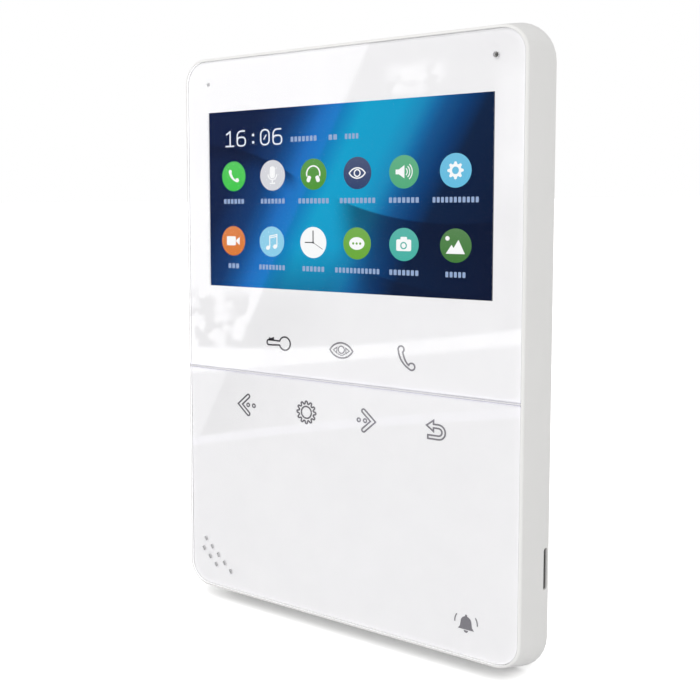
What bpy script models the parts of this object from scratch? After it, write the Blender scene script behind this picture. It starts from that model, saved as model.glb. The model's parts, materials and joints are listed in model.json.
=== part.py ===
"""Slim wall-mounted video intercom monitor, as an assembly of separate pieces.

Frame: +Z up, +X to the right of someone facing the screen, front towards -Y. The origin is on
the wall plane, behind the middle of the front face. Lengths are in millimetres until `metres`
converts them, and a "depth" is a distance behind the front face.
"""

import math

import bmesh
import bpy

MM = 0.001

# Casing
WIDTH = 113.4  # front edge of the casing
HEIGHT = 168.4
DEPTH = 16.0  # front face to wall
CORNER, REAR_CORNER = 7.5, 11.3  # corner radii of the front and rear edges
SIDE_LEAN, TOP_LEAN, BOTTOM_LEAN = 0.9, 2.4, 5.5  # how far the walls lean outwards, front to rear
EDGE_ROUND, REAR_ROUND = 0.8, 0.5  # rounding of the front and rear edges
RIM_FRONT = 0.05  # the rim starts this far behind the panels' face
WEB_FRONT, WEB_BACK = 1.0, 3.0  # wall that carries the panels
SIDE_WALL, LEDGE_WALL, REAR_WALL = 2.0, 2.8, 2.0  # walls behind the web, at the ledge, at the rear
LEDGE = 14.9  # depth of the ledge that the rear casing rests on
REAR_GAP = 0.2  # round the rear casing
MEET = 0.1  # between faces that touch in the real one

# Front panels and printed films
PANEL_GAP = 0.05
PANEL_BACK, PANEL_BEVEL = 0.6, 0.1
FILM_FRONT, FILM_BACK, FILM_INSET = 0.7, 0.9, 0.15
SEAM_Z, SEAM_GAP, SEAM_CORNER = -12.6, 0.5, 0.5
SEAM_RIB_WIDTH, SEAM_RIB_FRONT = 0.3, 0.3  # rib of the casing between the two panels
SCREEN_WIDTH, SCREEN_HEIGHT, SCREEN_Z = 95.04, 53.86, 40.6

# Display module
MODULE_WIDTH, MODULE_HEIGHT, MODULE_Z = 105.5, 67.2, 38.1
GLASS_WIDTH, GLASS_HEIGHT = 99.4, 63.8
GUIDE_HEIGHT, GUIDE_Z = 60.2, 39.4
MODULE_RIM, MODULE_RIM_BACK = 0.8, 4.2  # casing wall round the module
FIT = 0.3  # clearance between loose neighbours
# Front and back depth of each layer
GASKET_DEPTHS = (0.95, 1.15)
GLASS_DEPTHS = (1.0, 2.2)
FRAME_DEPTHS = (1.2, 4.0)
DIFFUSER_DEPTHS = (2.35, 2.55)
GUIDE_DEPTHS = (2.7, 3.5)
BACKLIGHT_DEPTHS = (4.1, 4.4)
CUSHION_DEPTHS = (4.55, 6.9)
CUSHION_WIDTH, CUSHION_HEIGHT, CUSHION_X = 6.0, 50.0, 40.0
LED_STRIP_WIDTH, LED_STRIP_HEIGHT, LED_STRIP_Z = 90.0, 2.4, 7.7
LCD_RIBBON_WIDTH = 22.0
LCD_RIBBON_PATH = ((4.7, 34), (4.7, 20), (5.2, 18.3), (6.2, 16.6), (6.7, 15), (6.7, 9))  # depth, z

# Holes in the front
LIGHT_AT = (-47.6, 76.3)
MICROPHONE_AT = (47.9, 76.7)
LIGHT_HOLE, MICROPHONE_HOLE = 0.6, 0.75  # radii
SLOT_LENGTH, SLOT_RADIUS, SLOT_ANGLE = 1.5, 0.22, -58
SLOT_ROWS = (((-50.1, -68.7), 5), ((-51.0, -72.1), 3))  # first slot and how many
SLOT_STEP = (2.5, -2.22)

# Touch keys: name, x, z
TOUCH_KEYS = (
    ("unlock", -20.6, -3.1),
    ("view", 1.7, -3.1),
    ("talk", 22.8, -3.1),
    ("previous", -33.0, -22.6),
    ("settings", -10.5, -22.6),
    ("next", 10.3, -22.6),
    ("back", 32.2, -22.6),
)
SPRING_RADII = (3.3, 2.4)  # at the web and at the board
SPRING_WIRE, SPRING_TURNS = 0.22, 3
SPRING_FRONT, SPRING_BACK = 3.4, 6.6

# Circuit boards, and what sits on them: name, width, height, centre, back depth
BOARD_FRONT, BOARD_BACK = 7.0, 8.2
CHIP_FRONT = BOARD_BACK + MEET
MAIN_CHIPS = (("processor", 17.0, 17.0, (-6.0, 44.0), 9.5), ("memory_chip", 9.0, 13.0, (13.0, 44.0), 9.3))
KEY_CHIPS = (("touch_controller", 6.0, 6.0, (0.0, -13.0), 9.2),)
INDUCTOR_SIZE, INDUCTOR_AT, INDUCTOR_BACK = 12.0, (-34.0, 64.0), 11.3
CAPACITOR_AT = (34.0, 64.0)
STATUS_LED_DEPTHS = (6.25, 6.9)
BOARD_HOLE = 1.3  # radius
CARD_BOARD_FRONT, CARD_BOARD_BACK = 11.4, 12.6
MAIN_POSTS = ((-46.0, -0.2), (46.0, -0.2))
KEY_POSTS = ((-36.0, -12.0), (36.0, -12.0))
CARD_POST, CARD_PIN = (30.0, -56.0), (30.0, -71.0)
POST_RADIUS, PILOT_RADIUS, THREAD_RADIUS = 2.5, 1.1, 0.95

# Case screws
CASE_SCREWS = ((-36.0, 78.6), (36.0, 78.6), (-24.0, -78.5), (24.0, -78.5))
BOSS_RADIUS, TUBE_RADIUS, TUBE_FRONT = 2.7, 3.3, 11.5
HEAD_RADIUS, HEAD_SEAT, HEAD_HEIGHT = 2.2, 12.9, 1.5

# Speaker
SPEAKER_AT = (-41.0, -68.5)
SPEAKER_RADIUS = 12.0
SPEAKER_WALL, SPEAKER_WALL_BACK = 1.3, 6.0  # casing wall round it

# Ribbons' paths in depth and z, and the speaker cable's points
KEY_RIBBON_PATH = ((8.45, 16), (9.0, 13), (9.4, 9), (9.4, 5), (9.0, 2), (8.45, -1))
CARD_RIBBON_PATH = ((8.45, -43), (9.0, -46), (9.8, -48.5), (10.8, -51), (11.15, -54))
SPEAKER_CABLE = (
    (-33, 7.2, -59.5),
    (-32, 8.4, -57),
    (-31, 9.6, -53),
    (-30.4, 9.9, -49),
    (-30, 9.1, -44.5),
)
SPEAKER_CABLE_RADIUS = 0.6

# Memory card
CARD_WIDTH, CARD_LENGTH, CARD_THICKNESS = 11.0, 15.0, 1.0
CARD_Z, CARD_DEPTH, CARD_END_X = -59.1, 13.7, 57.2
CARD_SLOT_HEIGHT, CARD_SLOT_WIDTH = 11.4, 2.0
CARD_NOTCH = 1.2  # step in one long edge
CARD_BOARD_WIDTH, CARD_BOARD_HEIGHT, CARD_BOARD_AT = 29.2, 28.0, (39.6, -61.0)
SOCKET_X = (40.3, 54.5)
CARD_STOP_X = 41.3

# Power switch, in the left side
SWITCH_Z, SWITCH_DEPTH = -38.0, 10.0
SWITCH_TRAVEL = 1.0  # each way
KNOB_LENGTH, KNOB_WIDTH, KNOB_TIP_X = 2.6, 1.6, -57.5
SWITCH_BODY_X = (-53.2, -49.6)

# Wall bracket and the recess for it
PLATE_FRONT = 14.8
PLATE = (72.0, -28.0, 52.0)  # width, bottom, top
NOTCH = (28.0, -8.0)  # width and top of the cable notch
RECESS = (85.2, -50.2, 53.6)
RECESS_FLOOR, FLOOR_THICKNESS, RECESS_WALL = 14.2, 1.2, 1.4
HOOK_X, HOOK_WIDTH, HOOK_STEEL, HOOK_LIP = 26.0, 8.0, 1.2, 4.0
HOOK_TOPS = (32.0, -14.0)  # upper sides of the hooks' stems
LIP_FRONT = 11.6
LIFT = 5.0
BRACKET_HOLES = ((-30.0, 12.0), (30.0, 12.0), (0.0, 42.0))
BEAD_X, BEAD_Z, BEAD_LENGTH, BEAD_RADIUS, BEAD_HEIGHT = 13.0, 18.0, 28.0, 2.4, 0.35
CABLE_WINDOW = (56.0, -48.5, -35.5)  # width, bottom, top
VENT_ROWS, VENT_X, VENT_WIDTH, VENT_HEIGHT = (60.0, 63.6, 67.2), 20.0, 18.0, 1.6

# Sockets for the wall cables: name, x
CABLE_SOCKETS = (("door_socket_1", -15.0), ("door_socket_2", 0.0), ("power_socket", 15.0))
SOCKETS_Z = -42.0
SOCKET_WIDTH, SOCKET_HEIGHT, SOCKET_BACK = 10.6, 6.0, 13.2
SOCKET_WALL, SOCKET_FLOOR = 0.85, 9.2

# Facets in a quarter turn, for large and for small corners, and in a full circle
ARC_STEPS, SMALL_ARC_STEPS, SMALL_ARC_RADIUS = 8, 3, 4.0
CIRCLE_STEPS = 20
SCREW_STEPS = 12

# Finishes: colour, roughness, metallic
WHITE_CASING = ((0.72, 0.72, 0.70), 0.38, 0.0)
WHITE_PRINT = ((0.86, 0.86, 0.87), 0.30, 0.0)
CLEAR = ((0.90, 0.92, 0.94), 0.04, 0.0)
SCREEN = ((0.02, 0.08, 0.22), 0.08, 0.0)
BLACK_FOAM = ((0.02, 0.02, 0.02), 0.95, 0.0)
BLACK_PLASTIC = ((0.015, 0.015, 0.017), 0.45, 0.0)
RUBBER = ((0.03, 0.03, 0.03), 0.80, 0.0)
STEEL = ((0.58, 0.58, 0.57), 0.35, 1.0)
MILK_SHEET = ((0.85, 0.86, 0.86), 0.55, 0.0)
GREEN_BOARD = ((0.02, 0.16, 0.06), 0.45, 0.0)
FLEX_FILM = ((0.42, 0.20, 0.03), 0.40, 0.0)
FERRITE = ((0.06, 0.06, 0.06), 0.60, 0.0)
WHITE_NYLON = ((0.78, 0.76, 0.70), 0.50, 0.0)
PAPER_CONE = ((0.05, 0.05, 0.05), 0.85, 0.0)


# ---------------------------------------------------------------- outlines and rings


def metres(x, depth, z):
    return (x * MM, (depth - DEPTH) * MM, z * MM)


def rounded(left, right, bottom, top, radii):
    """Rectangle outline; radii are for the top right, top left, bottom left and bottom right."""
    corners = ((right, top, -1, -1), (left, top, 1, -1), (left, bottom, 1, 1), (right, bottom, -1, 1))
    points = []
    for quarter, ((x, z, inward_x, inward_z), radius) in enumerate(zip(corners, radii)):
        steps = ARC_STEPS if radius > SMALL_ARC_RADIUS else SMALL_ARC_STEPS
        for step in range(steps + 1):
            angle = math.radians(90 * (quarter + step / steps))
            points.append(
                (
                    x + radius * (inward_x + math.cos(angle)),
                    z + radius * (inward_z + math.sin(angle)),
                )
            )
    return points


def panel(width, height, radius, centre=(0, 0)):
    x, z = centre
    half_width, half_height = width / 2, height / 2
    return rounded(x - half_width, x + half_width, z - half_height, z + half_height, [radius] * 4)


def box(width, height, centre=(0, 0)):
    x, z = centre
    corners = ((1, 1), (-1, 1), (-1, -1), (1, -1))
    return [(x + side * width / 2, z + up * height / 2) for side, up in corners]


def circle(radius, centre=(0, 0), steps=CIRCLE_STEPS):
    turns = [2 * math.pi * step / steps for step in range(steps)]
    return [(centre[0] + radius * math.cos(a), centre[1] + radius * math.sin(a)) for a in turns]


def stadium(length, radius, degrees, centre):
    """Slot outline with round ends, turned by an angle."""
    turn = math.radians(degrees)
    reach = length / 2 - radius
    points = []
    for end in (0, 1):
        middle = reach if end == 0 else -reach
        for step in range(5):
            angle = math.radians(-90 + 180 * end + 45 * step)
            points.append((middle + radius * math.cos(angle), radius * math.sin(angle)))
    return [
        (
            centre[0] + u * math.cos(turn) - v * math.sin(turn),
            centre[1] + u * math.sin(turn) + v * math.cos(turn),
        )
        for u, v in points
    ]


def ring(outline, depth):
    return [(x, depth, z) for x, z in outline]


def prism(outline, front, back):
    return [ring(outline, front), ring(outline, back)]


def side_prism(outline, left, right):
    """Prism that runs along X; its outline is in depth and z."""
    return [[(x, depth, z) for depth, z in outline] for x in (left, right)]


def turned(profile, centre):
    """Rings of a round piece from (radius, depth) pairs."""
    return [ring(circle(radius, centre), depth) for radius, depth in profile]


# ---------------------------------------------------------------- meshes, objects, Booleans


def add_skin(mesh, rings, hollow):
    """Joins rings of equally many points; a hollow skin closes on its first ring, others get caps."""
    loops = [[mesh.verts.new(metres(*point)) for point in points] for points in rings]
    pairs = list(zip(loops, loops[1:]))
    if hollow:
        pairs.append((loops[-1], loops[0]))
    for near, far in pairs:
        for i in range(len(near)):
            mesh.faces.new((near[i - 1], near[i], far[i], far[i - 1]))
    if not hollow:
        mesh.faces.new(loops[0])
        mesh.faces.new(loops[-1])


def mesh_object(name, shapes, hollow=False):
    """Object with its origin in the middle of its first ring."""
    first = shapes[0][0]
    middle = [(min(axis) + max(axis)) / 2 for axis in zip(*first)]
    origin = metres(*middle)
    mesh = bmesh.new()
    for rings in shapes:
        add_skin(mesh, rings, hollow)
    bmesh.ops.recalc_face_normals(mesh, faces=mesh.faces)
    bmesh.ops.translate(mesh, verts=mesh.verts, vec=[-value for value in origin])
    data = bpy.data.meshes.new(name)
    mesh.to_mesh(data)
    mesh.free()
    data.shade_smooth()
    data.set_sharp_from_angle(angle=math.radians(35))
    obj = bpy.data.objects.new(name, data)
    obj.location = origin
    bpy.context.scene.collection.objects.link(obj)
    return obj


def give_finish(obj, finish):
    colour, roughness, metallic = finish
    material = bpy.data.materials.new(f"{obj.name}_finish")
    material.use_nodes = True
    shader = material.node_tree.nodes["Principled BSDF"]
    shader.inputs["Base Color"].default_value = (*colour, 1)
    shader.inputs["Roughness"].default_value = roughness
    shader.inputs["Metallic"].default_value = metallic
    obj.data.materials.append(material)


def piece(name, finish, *shapes, parent="monitor", hollow=False):
    """One solid piece. Its parent empty sits at the world origin, so its location stays as it is."""
    obj = mesh_object(name, shapes, hollow)
    obj.parent = bpy.data.objects.get(parent)
    give_finish(obj, finish)
    return obj


def combine(target, label, operation, shapes):
    helper = mesh_object(f"{target.name}_{label}", shapes)
    helper.hide_render = True
    helper.display_type = "WIRE"
    modifier = target.modifiers.new(label, "BOOLEAN")
    modifier.operation = operation
    modifier.object = helper


def add(target, label, *shapes):
    combine(target, label, "UNION", shapes)


def cut(target, label, *shapes):
    combine(target, label, "DIFFERENCE", shapes)


def wire(name, finish, points, radius):
    """Round wire through (x, depth, z) points, with closed ends."""
    curve = bpy.data.curves.new(name, "CURVE")
    curve.dimensions = "3D"
    curve.bevel_depth = radius * MM
    curve.bevel_resolution = 0
    curve.use_fill_caps = True
    spline = curve.splines.new("POLY")
    spline.points.add(len(points) - 1)
    origin = metres(*points[0])
    for knot, point in zip(spline.points, points):
        knot.co = [a - b for a, b in zip(metres(*point), origin)] + [1]
    obj = bpy.data.objects.new(name, curve)
    obj.location = origin
    obj.parent = bpy.data.objects["monitor"]
    bpy.context.scene.collection.objects.link(obj)
    give_finish(obj, finish)


def ribbon(name, x, width, path, thickness=0.2):
    """Flat flexible cable: a path in depth and z, thickened and run along X."""
    above, below = [], []
    for i, (depth, z) in enumerate(path):
        before, after = path[max(i - 1, 0)], path[min(i + 1, len(path) - 1)]
        run_depth, run_z = after[0] - before[0], after[1] - before[1]
        scale = thickness / 2 / math.hypot(run_depth, run_z)
        above.append((depth + run_z * scale, z - run_depth * scale))
        below.append((depth - run_z * scale, z + run_depth * scale))
    outline = above + below[::-1]
    piece(name, FLEX_FILM, side_prism(outline, x - width / 2, x + width / 2))


# ---------------------------------------------------------------- casings and front


def casing_outline(inset, depth=0.0):
    """The casing's outline moved inwards, at a depth; its walls lean outwards behind the front edge."""
    share = max(depth - EDGE_ROUND, 0.0) / (DEPTH - EDGE_ROUND)
    side = WIDTH / 2 + SIDE_LEAN * share - inset
    top = HEIGHT / 2 + TOP_LEAN * share - inset
    bottom = HEIGHT / 2 + BOTTOM_LEAN * share - inset
    radius = CORNER + (REAR_CORNER - CORNER) * share - inset
    return rounded(-side, side, -bottom, top, [radius] * 4)


def edge_rings():
    """The rounded front edge, from the panels' pocket to the side wall."""
    steps = 4
    rings = []
    for step in range(steps + 1):
        angle = math.radians(90 * step / steps)
        outline = casing_outline(EDGE_ROUND * (1 - math.sin(angle)))
        rings.append(ring(outline, RIM_FRONT + EDGE_ROUND * (1 - math.cos(angle))))
    return rings


def speaker_slots():
    slots = []
    for (x, z), count in SLOT_ROWS:
        for i in range(count):
            at = (x + i * SLOT_STEP[0], z + i * SLOT_STEP[1])
            slots.append(stadium(SLOT_LENGTH, SLOT_RADIUS, SLOT_ANGLE, at))
    return slots


def card_slot_outline():
    half_width, half_height = CARD_SLOT_WIDTH / 2, CARD_SLOT_HEIGHT / 2
    return rounded(
        CARD_DEPTH - half_width,
        CARD_DEPTH + half_width,
        CARD_Z - half_height,
        CARD_Z + half_height,
        [0.7] * 4,
    )


def switch_slot_outline():
    half_length = KNOB_LENGTH / 2 + SWITCH_TRAVEL + FIT
    half_width = KNOB_WIDTH / 2 + FIT
    return rounded(
        SWITCH_DEPTH - half_width,
        SWITCH_DEPTH + half_width,
        SWITCH_Z - half_length,
        SWITCH_Z + half_length,
        [0.4] * 4,
    )


def shell_rings():
    """Skin of the hollow shell: pocket wall, front edge, side walls, rear opening, ledge, cavity."""
    rear_opening = casing_outline(REAR_WALL, DEPTH)
    return [
        ring(casing_outline(EDGE_ROUND), WEB_FRONT),
        *edge_rings(),
        ring(casing_outline(0, DEPTH - REAR_ROUND), DEPTH - REAR_ROUND),
        ring(casing_outline(REAR_ROUND, DEPTH), DEPTH),
        ring(rear_opening, DEPTH),
        ring(rear_opening, LEDGE),
        ring(casing_outline(LEDGE_WALL, LEDGE), LEDGE),
        ring(casing_outline(SIDE_WALL, WEB_BACK), WEB_BACK),
    ]


def module_pocket(wall=0.0):
    """Pocket for the display module, or its wall's outside."""
    grow = 2 * (FIT + wall)
    return panel(MODULE_WIDTH + grow, MODULE_HEIGHT + grow, 0.7 + wall, (0, MODULE_Z))


def posts(places, radius, front, back):
    return [prism(circle(radius, at), front, back) for at in places]


def make_front_casing():
    casing = piece("front_casing", WHITE_CASING, shell_rings())
    root = (WEB_FRONT + WEB_BACK) / 2  # inside the web, where the ribs and posts start
    add(
        casing,
        "ribs",
        prism(module_pocket(MODULE_RIM), root, MODULE_RIM_BACK),
        prism(circle(SPEAKER_RADIUS + SPEAKER_WALL, SPEAKER_AT), root, SPEAKER_WALL_BACK),
        prism(box(WIDTH - 1.2, SEAM_RIB_WIDTH, (0, SEAM_Z)), SEAM_RIB_FRONT, root),
        *posts(MAIN_POSTS + KEY_POSTS, POST_RADIUS, root, BOARD_FRONT - MEET),
        *posts((CARD_POST, CARD_PIN), POST_RADIUS, root, CARD_BOARD_FRONT - MEET),
        *posts(CASE_SCREWS, BOSS_RADIUS, root, TUBE_FRONT - 0.2),
    )
    add(casing, "pin", *posts((CARD_PIN,), 1.0, CARD_BOARD_FRONT - 1, CARD_BOARD_BACK + 0.4))
    cut(
        casing,
        "pockets",
        prism(module_pocket(), WEB_FRONT - 0.5, 5.0),
        prism(circle(SPEAKER_RADIUS + FIT, SPEAKER_AT), WEB_BACK, SPEAKER_WALL_BACK + 0.5),
        *pilot_holes(),
    )
    through = (WEB_FRONT - 0.5, WEB_BACK + 0.5)
    inside, outside = WIDTH / 2 - SIDE_WALL - 0.5, WIDTH / 2 + 3
    cut(
        casing,
        "holes",
        *[prism(slot, *through) for slot in speaker_slots()],
        prism(circle(LIGHT_HOLE, LIGHT_AT, 12), *through),
        prism(circle(MICROPHONE_HOLE, MICROPHONE_AT, 12), *through),
        side_prism(card_slot_outline(), inside, outside),
        side_prism(switch_slot_outline(), -outside, -inside),
    )


def pilot_holes():
    """Blind holes for the screws, up to the top of their posts."""
    groups = ((MAIN_POSTS + KEY_POSTS, 4.0, BOARD_FRONT), ((CARD_POST,), 8.0, CARD_BOARD_FRONT))
    groups += ((CASE_SCREWS, 6.0, TUBE_FRONT),)
    return [
        prism(circle(PILOT_RADIUS, at, SCREW_STEPS), bottom, top)
        for places, bottom, top in groups
        for at in places
    ]


def half_outline(upper, inset):
    """Outline of the part of the front above or below the seam."""
    side = WIDTH / 2 - EDGE_ROUND - PANEL_GAP - inset
    top = HEIGHT / 2 - EDGE_ROUND - PANEL_GAP - inset
    radius = CORNER - EDGE_ROUND - PANEL_GAP - inset
    seam = SEAM_GAP / 2 + inset
    if upper:
        return rounded(-side, side, SEAM_Z + seam, top, (radius, radius, SEAM_CORNER, SEAM_CORNER))
    return rounded(-side, side, -top, SEAM_Z - seam, (SEAM_CORNER, SEAM_CORNER, radius, radius))


def make_front_panels():
    for name, upper in (("upper_panel", True), ("lower_panel", False)):
        sheet = piece(
            name,
            CLEAR,
            [
                ring(half_outline(upper, PANEL_BEVEL), 0),
                ring(half_outline(upper, 0), PANEL_BEVEL),
                ring(half_outline(upper, 0), PANEL_BACK),
            ],
        )
        if upper:
            cut(sheet, "hole", prism(circle(MICROPHONE_HOLE, MICROPHONE_AT, 12), -1, 2))
        else:
            cut(sheet, "slots", *[prism(slot, -1, 2) for slot in speaker_slots()])


def make_print_films():
    upper = piece(
        "upper_print_film", WHITE_PRINT, prism(half_outline(True, FILM_INSET), FILM_FRONT, FILM_BACK)
    )
    cut(
        upper,
        "windows",
        prism(box(SCREEN_WIDTH, SCREEN_HEIGHT, (0, SCREEN_Z)), 0, 2),
        prism(circle(LIGHT_HOLE, LIGHT_AT, 12), 0, 2),
        prism(circle(MICROPHONE_HOLE, MICROPHONE_AT, 12), 0, 2),
    )
    lower = piece(
        "lower_print_film", WHITE_PRINT, prism(half_outline(False, FILM_INSET), FILM_FRONT, FILM_BACK)
    )
    cut(lower, "slots", *[prism(slot, 0, 2) for slot in speaker_slots()])


def make_rear_casing():
    width, bottom, top = RECESS
    middle = (0, (bottom + top) / 2)
    cover = piece(
        "rear_casing",
        WHITE_CASING,
        prism(casing_outline(REAR_WALL + REAR_GAP, DEPTH), LEDGE + MEET, DEPTH),
    )
    floor_front = RECESS_FLOOR - FLOOR_THICKNESS
    block = (width + 2 * RECESS_WALL, top - bottom + 2 * RECESS_WALL)
    add(
        cover,
        "tub",
        prism(panel(*block, 2.0, middle), floor_front, LEDGE + 0.5),
        *[prism(circle(TUBE_RADIUS, at), TUBE_FRONT, LEDGE + 0.5) for at in CASE_SCREWS],
    )
    cut(cover, "recess", prism(panel(width, top - bottom, 1.5, middle), RECESS_FLOOR, DEPTH + 1))
    hook_slots = [
        prism(box(HOOK_WIDTH + 1.2, LIFT + HOOK_STEEL + 0.6, (side * HOOK_X, slot_middle(up))), 12, 15)
        for side in (-1, 1)
        for up in HOOK_TOPS
    ]
    window_width, window_bottom, window_top = CABLE_WINDOW
    window = panel(
        window_width, window_top - window_bottom, 1.5, (0, (window_bottom + window_top) / 2)
    )
    cut(cover, "openings", prism(window, 12, 15), *hook_slots)
    cut(
        cover,
        "screw_holes",
        *[turned(((1.4, 11), (1.4, HEAD_SEAT), (2.6, HEAD_SEAT), (2.6, 17)), at) for at in CASE_SCREWS],
    )
    vents = [
        prism(panel(VENT_WIDTH, VENT_HEIGHT, 0.75, (side * VENT_X, end * row)), LEDGE - 1, DEPTH + 1)
        for side in (-1, 1)
        for end in (-1, 1)
        for row in VENT_ROWS
    ]
    cut(cover, "vents", *vents)


def slot_middle(stem_top):
    """Middle of a hook's slot: 0.3 mm above the stem at rest and 0.3 mm below it when lifted."""
    return stem_top + FIT - (LIFT + HOOK_STEEL + 2 * FIT) / 2


def make_wall_bracket():
    width, bottom, top = PLATE
    plate = piece(
        "wall_bracket",
        STEEL,
        prism(panel(width, top - bottom, 4.0, (0, (bottom + top) / 2)), PLATE_FRONT, DEPTH),
        parent="wall",
    )
    for side in (-1, 1):
        for stem_top in HOOK_TOPS:
            stem_bottom = stem_top - HOOK_STEEL
            profile = [
                (PLATE_FRONT + 0.4, stem_bottom),
                (PLATE_FRONT + 0.4, stem_top),
                (LIP_FRONT + HOOK_STEEL, stem_top),
                (LIP_FRONT + HOOK_STEEL, stem_top + HOOK_LIP),
                (LIP_FRONT, stem_top + HOOK_LIP),
                (LIP_FRONT, stem_bottom),
            ]
            middle = side * HOOK_X
            hook = side_prism(profile, middle - HOOK_WIDTH / 2, middle + HOOK_WIDTH / 2)
            add(plate, f"hook_{'left' if side < 0 else 'right'}_{stem_top:.0f}", hook)
    press_beads(plate)
    notch_width, notch_top = NOTCH
    notch_bottom = bottom - 2
    notch = box(notch_width, notch_top - notch_bottom, (0, (notch_top + notch_bottom) / 2))
    cut(plate, "notch", prism(notch, PLATE_FRONT - 1, DEPTH + 1))
    countersinks = [
        turned(((4.4, PLATE_FRONT - 1), (4.4, PLATE_FRONT), (2.4, DEPTH - 0.2), (2.4, DEPTH + 1)), at)
        for at in BRACKET_HOLES
    ]
    cut(plate, "screw_holes", *countersinks)


def press_beads(plate):
    """Two stiffening beads: raised towards the monitor, hollow on the wall side."""
    for side in (-1, 1):
        outer, inner = [
            stadium(BEAD_LENGTH - shrink, BEAD_RADIUS - shrink / 2, 90, (side * BEAD_X, BEAD_Z))
            for shrink in (0.0, 2 * BEAD_HEIGHT)
        ]
        label = "left" if side < 0 else "right"
        add(plate, f"bead_{label}", bead_rings(inner, outer, PLATE_FRONT))
        cut(plate, f"bead_hollow_{label}", bead_rings(inner, outer, DEPTH))


def bead_rings(inner, outer, face):
    return [ring(inner, face - BEAD_HEIGHT), ring(outer, face), ring(outer, face + BEAD_HEIGHT)]


# ---------------------------------------------------------------- display


def make_display():
    module_at = (0, MODULE_Z)
    outer = (MODULE_WIDTH, MODULE_HEIGHT)
    opening = (GLASS_WIDTH + 2 * FIT, GLASS_HEIGHT + 2 * FIT)
    gasket = piece("lcd_gasket", BLACK_FOAM, prism(panel(*outer, 1.0, module_at), *GASKET_DEPTHS))
    cut(gasket, "opening", prism(panel(*opening, 0.5, module_at), 0, 3))
    frame = piece("lcd_frame", STEEL, prism(panel(*outer, 1.0, module_at), *FRAME_DEPTHS))
    cut(frame, "opening", prism(panel(*opening, 0.5, module_at), 0, 6))
    piece("lcd_panel", SCREEN, prism(box(GLASS_WIDTH, GLASS_HEIGHT, module_at), *GLASS_DEPTHS))
    sheet = box(GLASS_WIDTH, GUIDE_HEIGHT, (0, GUIDE_Z))
    piece("diffuser_sheet", MILK_SHEET, prism(sheet, *DIFFUSER_DEPTHS))
    piece("light_guide", CLEAR, prism(sheet, *GUIDE_DEPTHS))
    strip = box(LED_STRIP_WIDTH, LED_STRIP_HEIGHT, (0, LED_STRIP_Z))
    piece("led_strip", WHITE_NYLON, prism(strip, *GUIDE_DEPTHS))
    piece("backlight_plate", STEEL, prism(panel(*outer, 1.0, module_at), *BACKLIGHT_DEPTHS))
    ribbon("lcd_ribbon", 0, LCD_RIBBON_WIDTH, LCD_RIBBON_PATH)
    for name, x in (("lcd_cushion_left", -CUSHION_X), ("lcd_cushion_right", CUSHION_X)):
        cushion = box(CUSHION_WIDTH, CUSHION_HEIGHT, (x, MODULE_Z))
        piece(name, BLACK_FOAM, prism(cushion, *CUSHION_DEPTHS))


# ---------------------------------------------------------------- electronics


def main_board_outline():
    """Rectangle with two ears up, for the light and microphone, and two down, for the screws."""
    right_half = ((52, 80.4), (52, 7), (51, 7), (51, -4), (41, -4), (41, 7))
    left_half = [(-x, z) for x, z in reversed(right_half)]
    return [(42, 75.4), (42, 80.4), *right_half, *left_half, (-42, 80.4), (-42, 75.4)]


def screw(name, at, seat, tip, slot_depth=0.6):
    """Pan-head screw with a straight slot, driven from the rear."""
    body = piece(
        name,
        STEEL,
        [ring(circle(r, at, SCREW_STEPS), d) for r, d in screw_profile(seat, tip)],
    )
    top = seat + HEAD_HEIGHT
    cut(body, "slot", prism(box(2.9, 0.6, at), top - slot_depth, top + 0.5))


def screw_profile(seat, tip):
    head = seat + HEAD_HEIGHT
    return (
        (0.4, tip),
        (THREAD_RADIUS, tip + 0.7),
        (THREAD_RADIUS, seat + 0.05),
        (HEAD_RADIUS, seat + 0.05),
        (HEAD_RADIUS, head - 0.5),
        (HEAD_RADIUS - 0.6, head),
    )


def make_screws():
    for number, at in enumerate(CASE_SCREWS, 1):
        screw(f"case_screw_{number}", at, HEAD_SEAT, 6.5)
    for number, at in enumerate(MAIN_POSTS + KEY_POSTS, 1):
        screw(f"board_screw_{number}", at, BOARD_BACK, 4.4)
    screw("board_screw_5", CARD_POST, CARD_BOARD_BACK, 8.6)


def make_main_board():
    board = piece("main_board", GREEN_BOARD, prism(main_board_outline(), BOARD_FRONT, BOARD_BACK))
    cut(board, "holes", *[prism(circle(BOARD_HOLE, at, 12), 6, 9) for at in MAIN_POSTS])
    make_chips(MAIN_CHIPS)
    inductor = panel(INDUCTOR_SIZE, INDUCTOR_SIZE, 2.5, INDUCTOR_AT)
    piece("power_inductor", FERRITE, prism(inductor, CHIP_FRONT, INDUCTOR_BACK))
    capacitor = [(4.2, CHIP_FRONT), (4.2, 9.0), (4.0, 9.1), (4.0, 12.0), (3.8, 12.2)]
    piece("bulk_capacitor", STEEL, turned(capacitor, CAPACITOR_AT))
    piece("status_led", WHITE_NYLON, prism(box(1.6, 0.8, LIGHT_AT), *STATUS_LED_DEPTHS))


def make_chips(chips):
    for name, width, height, centre, back in chips:
        piece(name, BLACK_PLASTIC, prism(box(width, height, centre), CHIP_FRONT, back))


def make_light_and_microphone():
    pipe = ((0.5, FILM_FRONT + 0.05), (0.5, 3.15), (1.3, 3.15), (1.3, 4.2), (0.9, 4.2), (0.9, 6.1))
    piece("status_light_pipe", CLEAR, [ring(circle(r, LIGHT_AT, 12), d) for r, d in pipe])
    boot = piece("microphone_boot", RUBBER, prism(circle(3.4, MICROPHONE_AT), 3.1, 6.8))
    cavity = ((0.8, 2), (0.8, 4.2), (2.4, 4.2), (2.4, 8))
    cut(boot, "cavity", turned(cavity, MICROPHONE_AT))
    piece("microphone", STEEL, prism(circle(2.25, MICROPHONE_AT), 4.35, 6.6))


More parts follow.
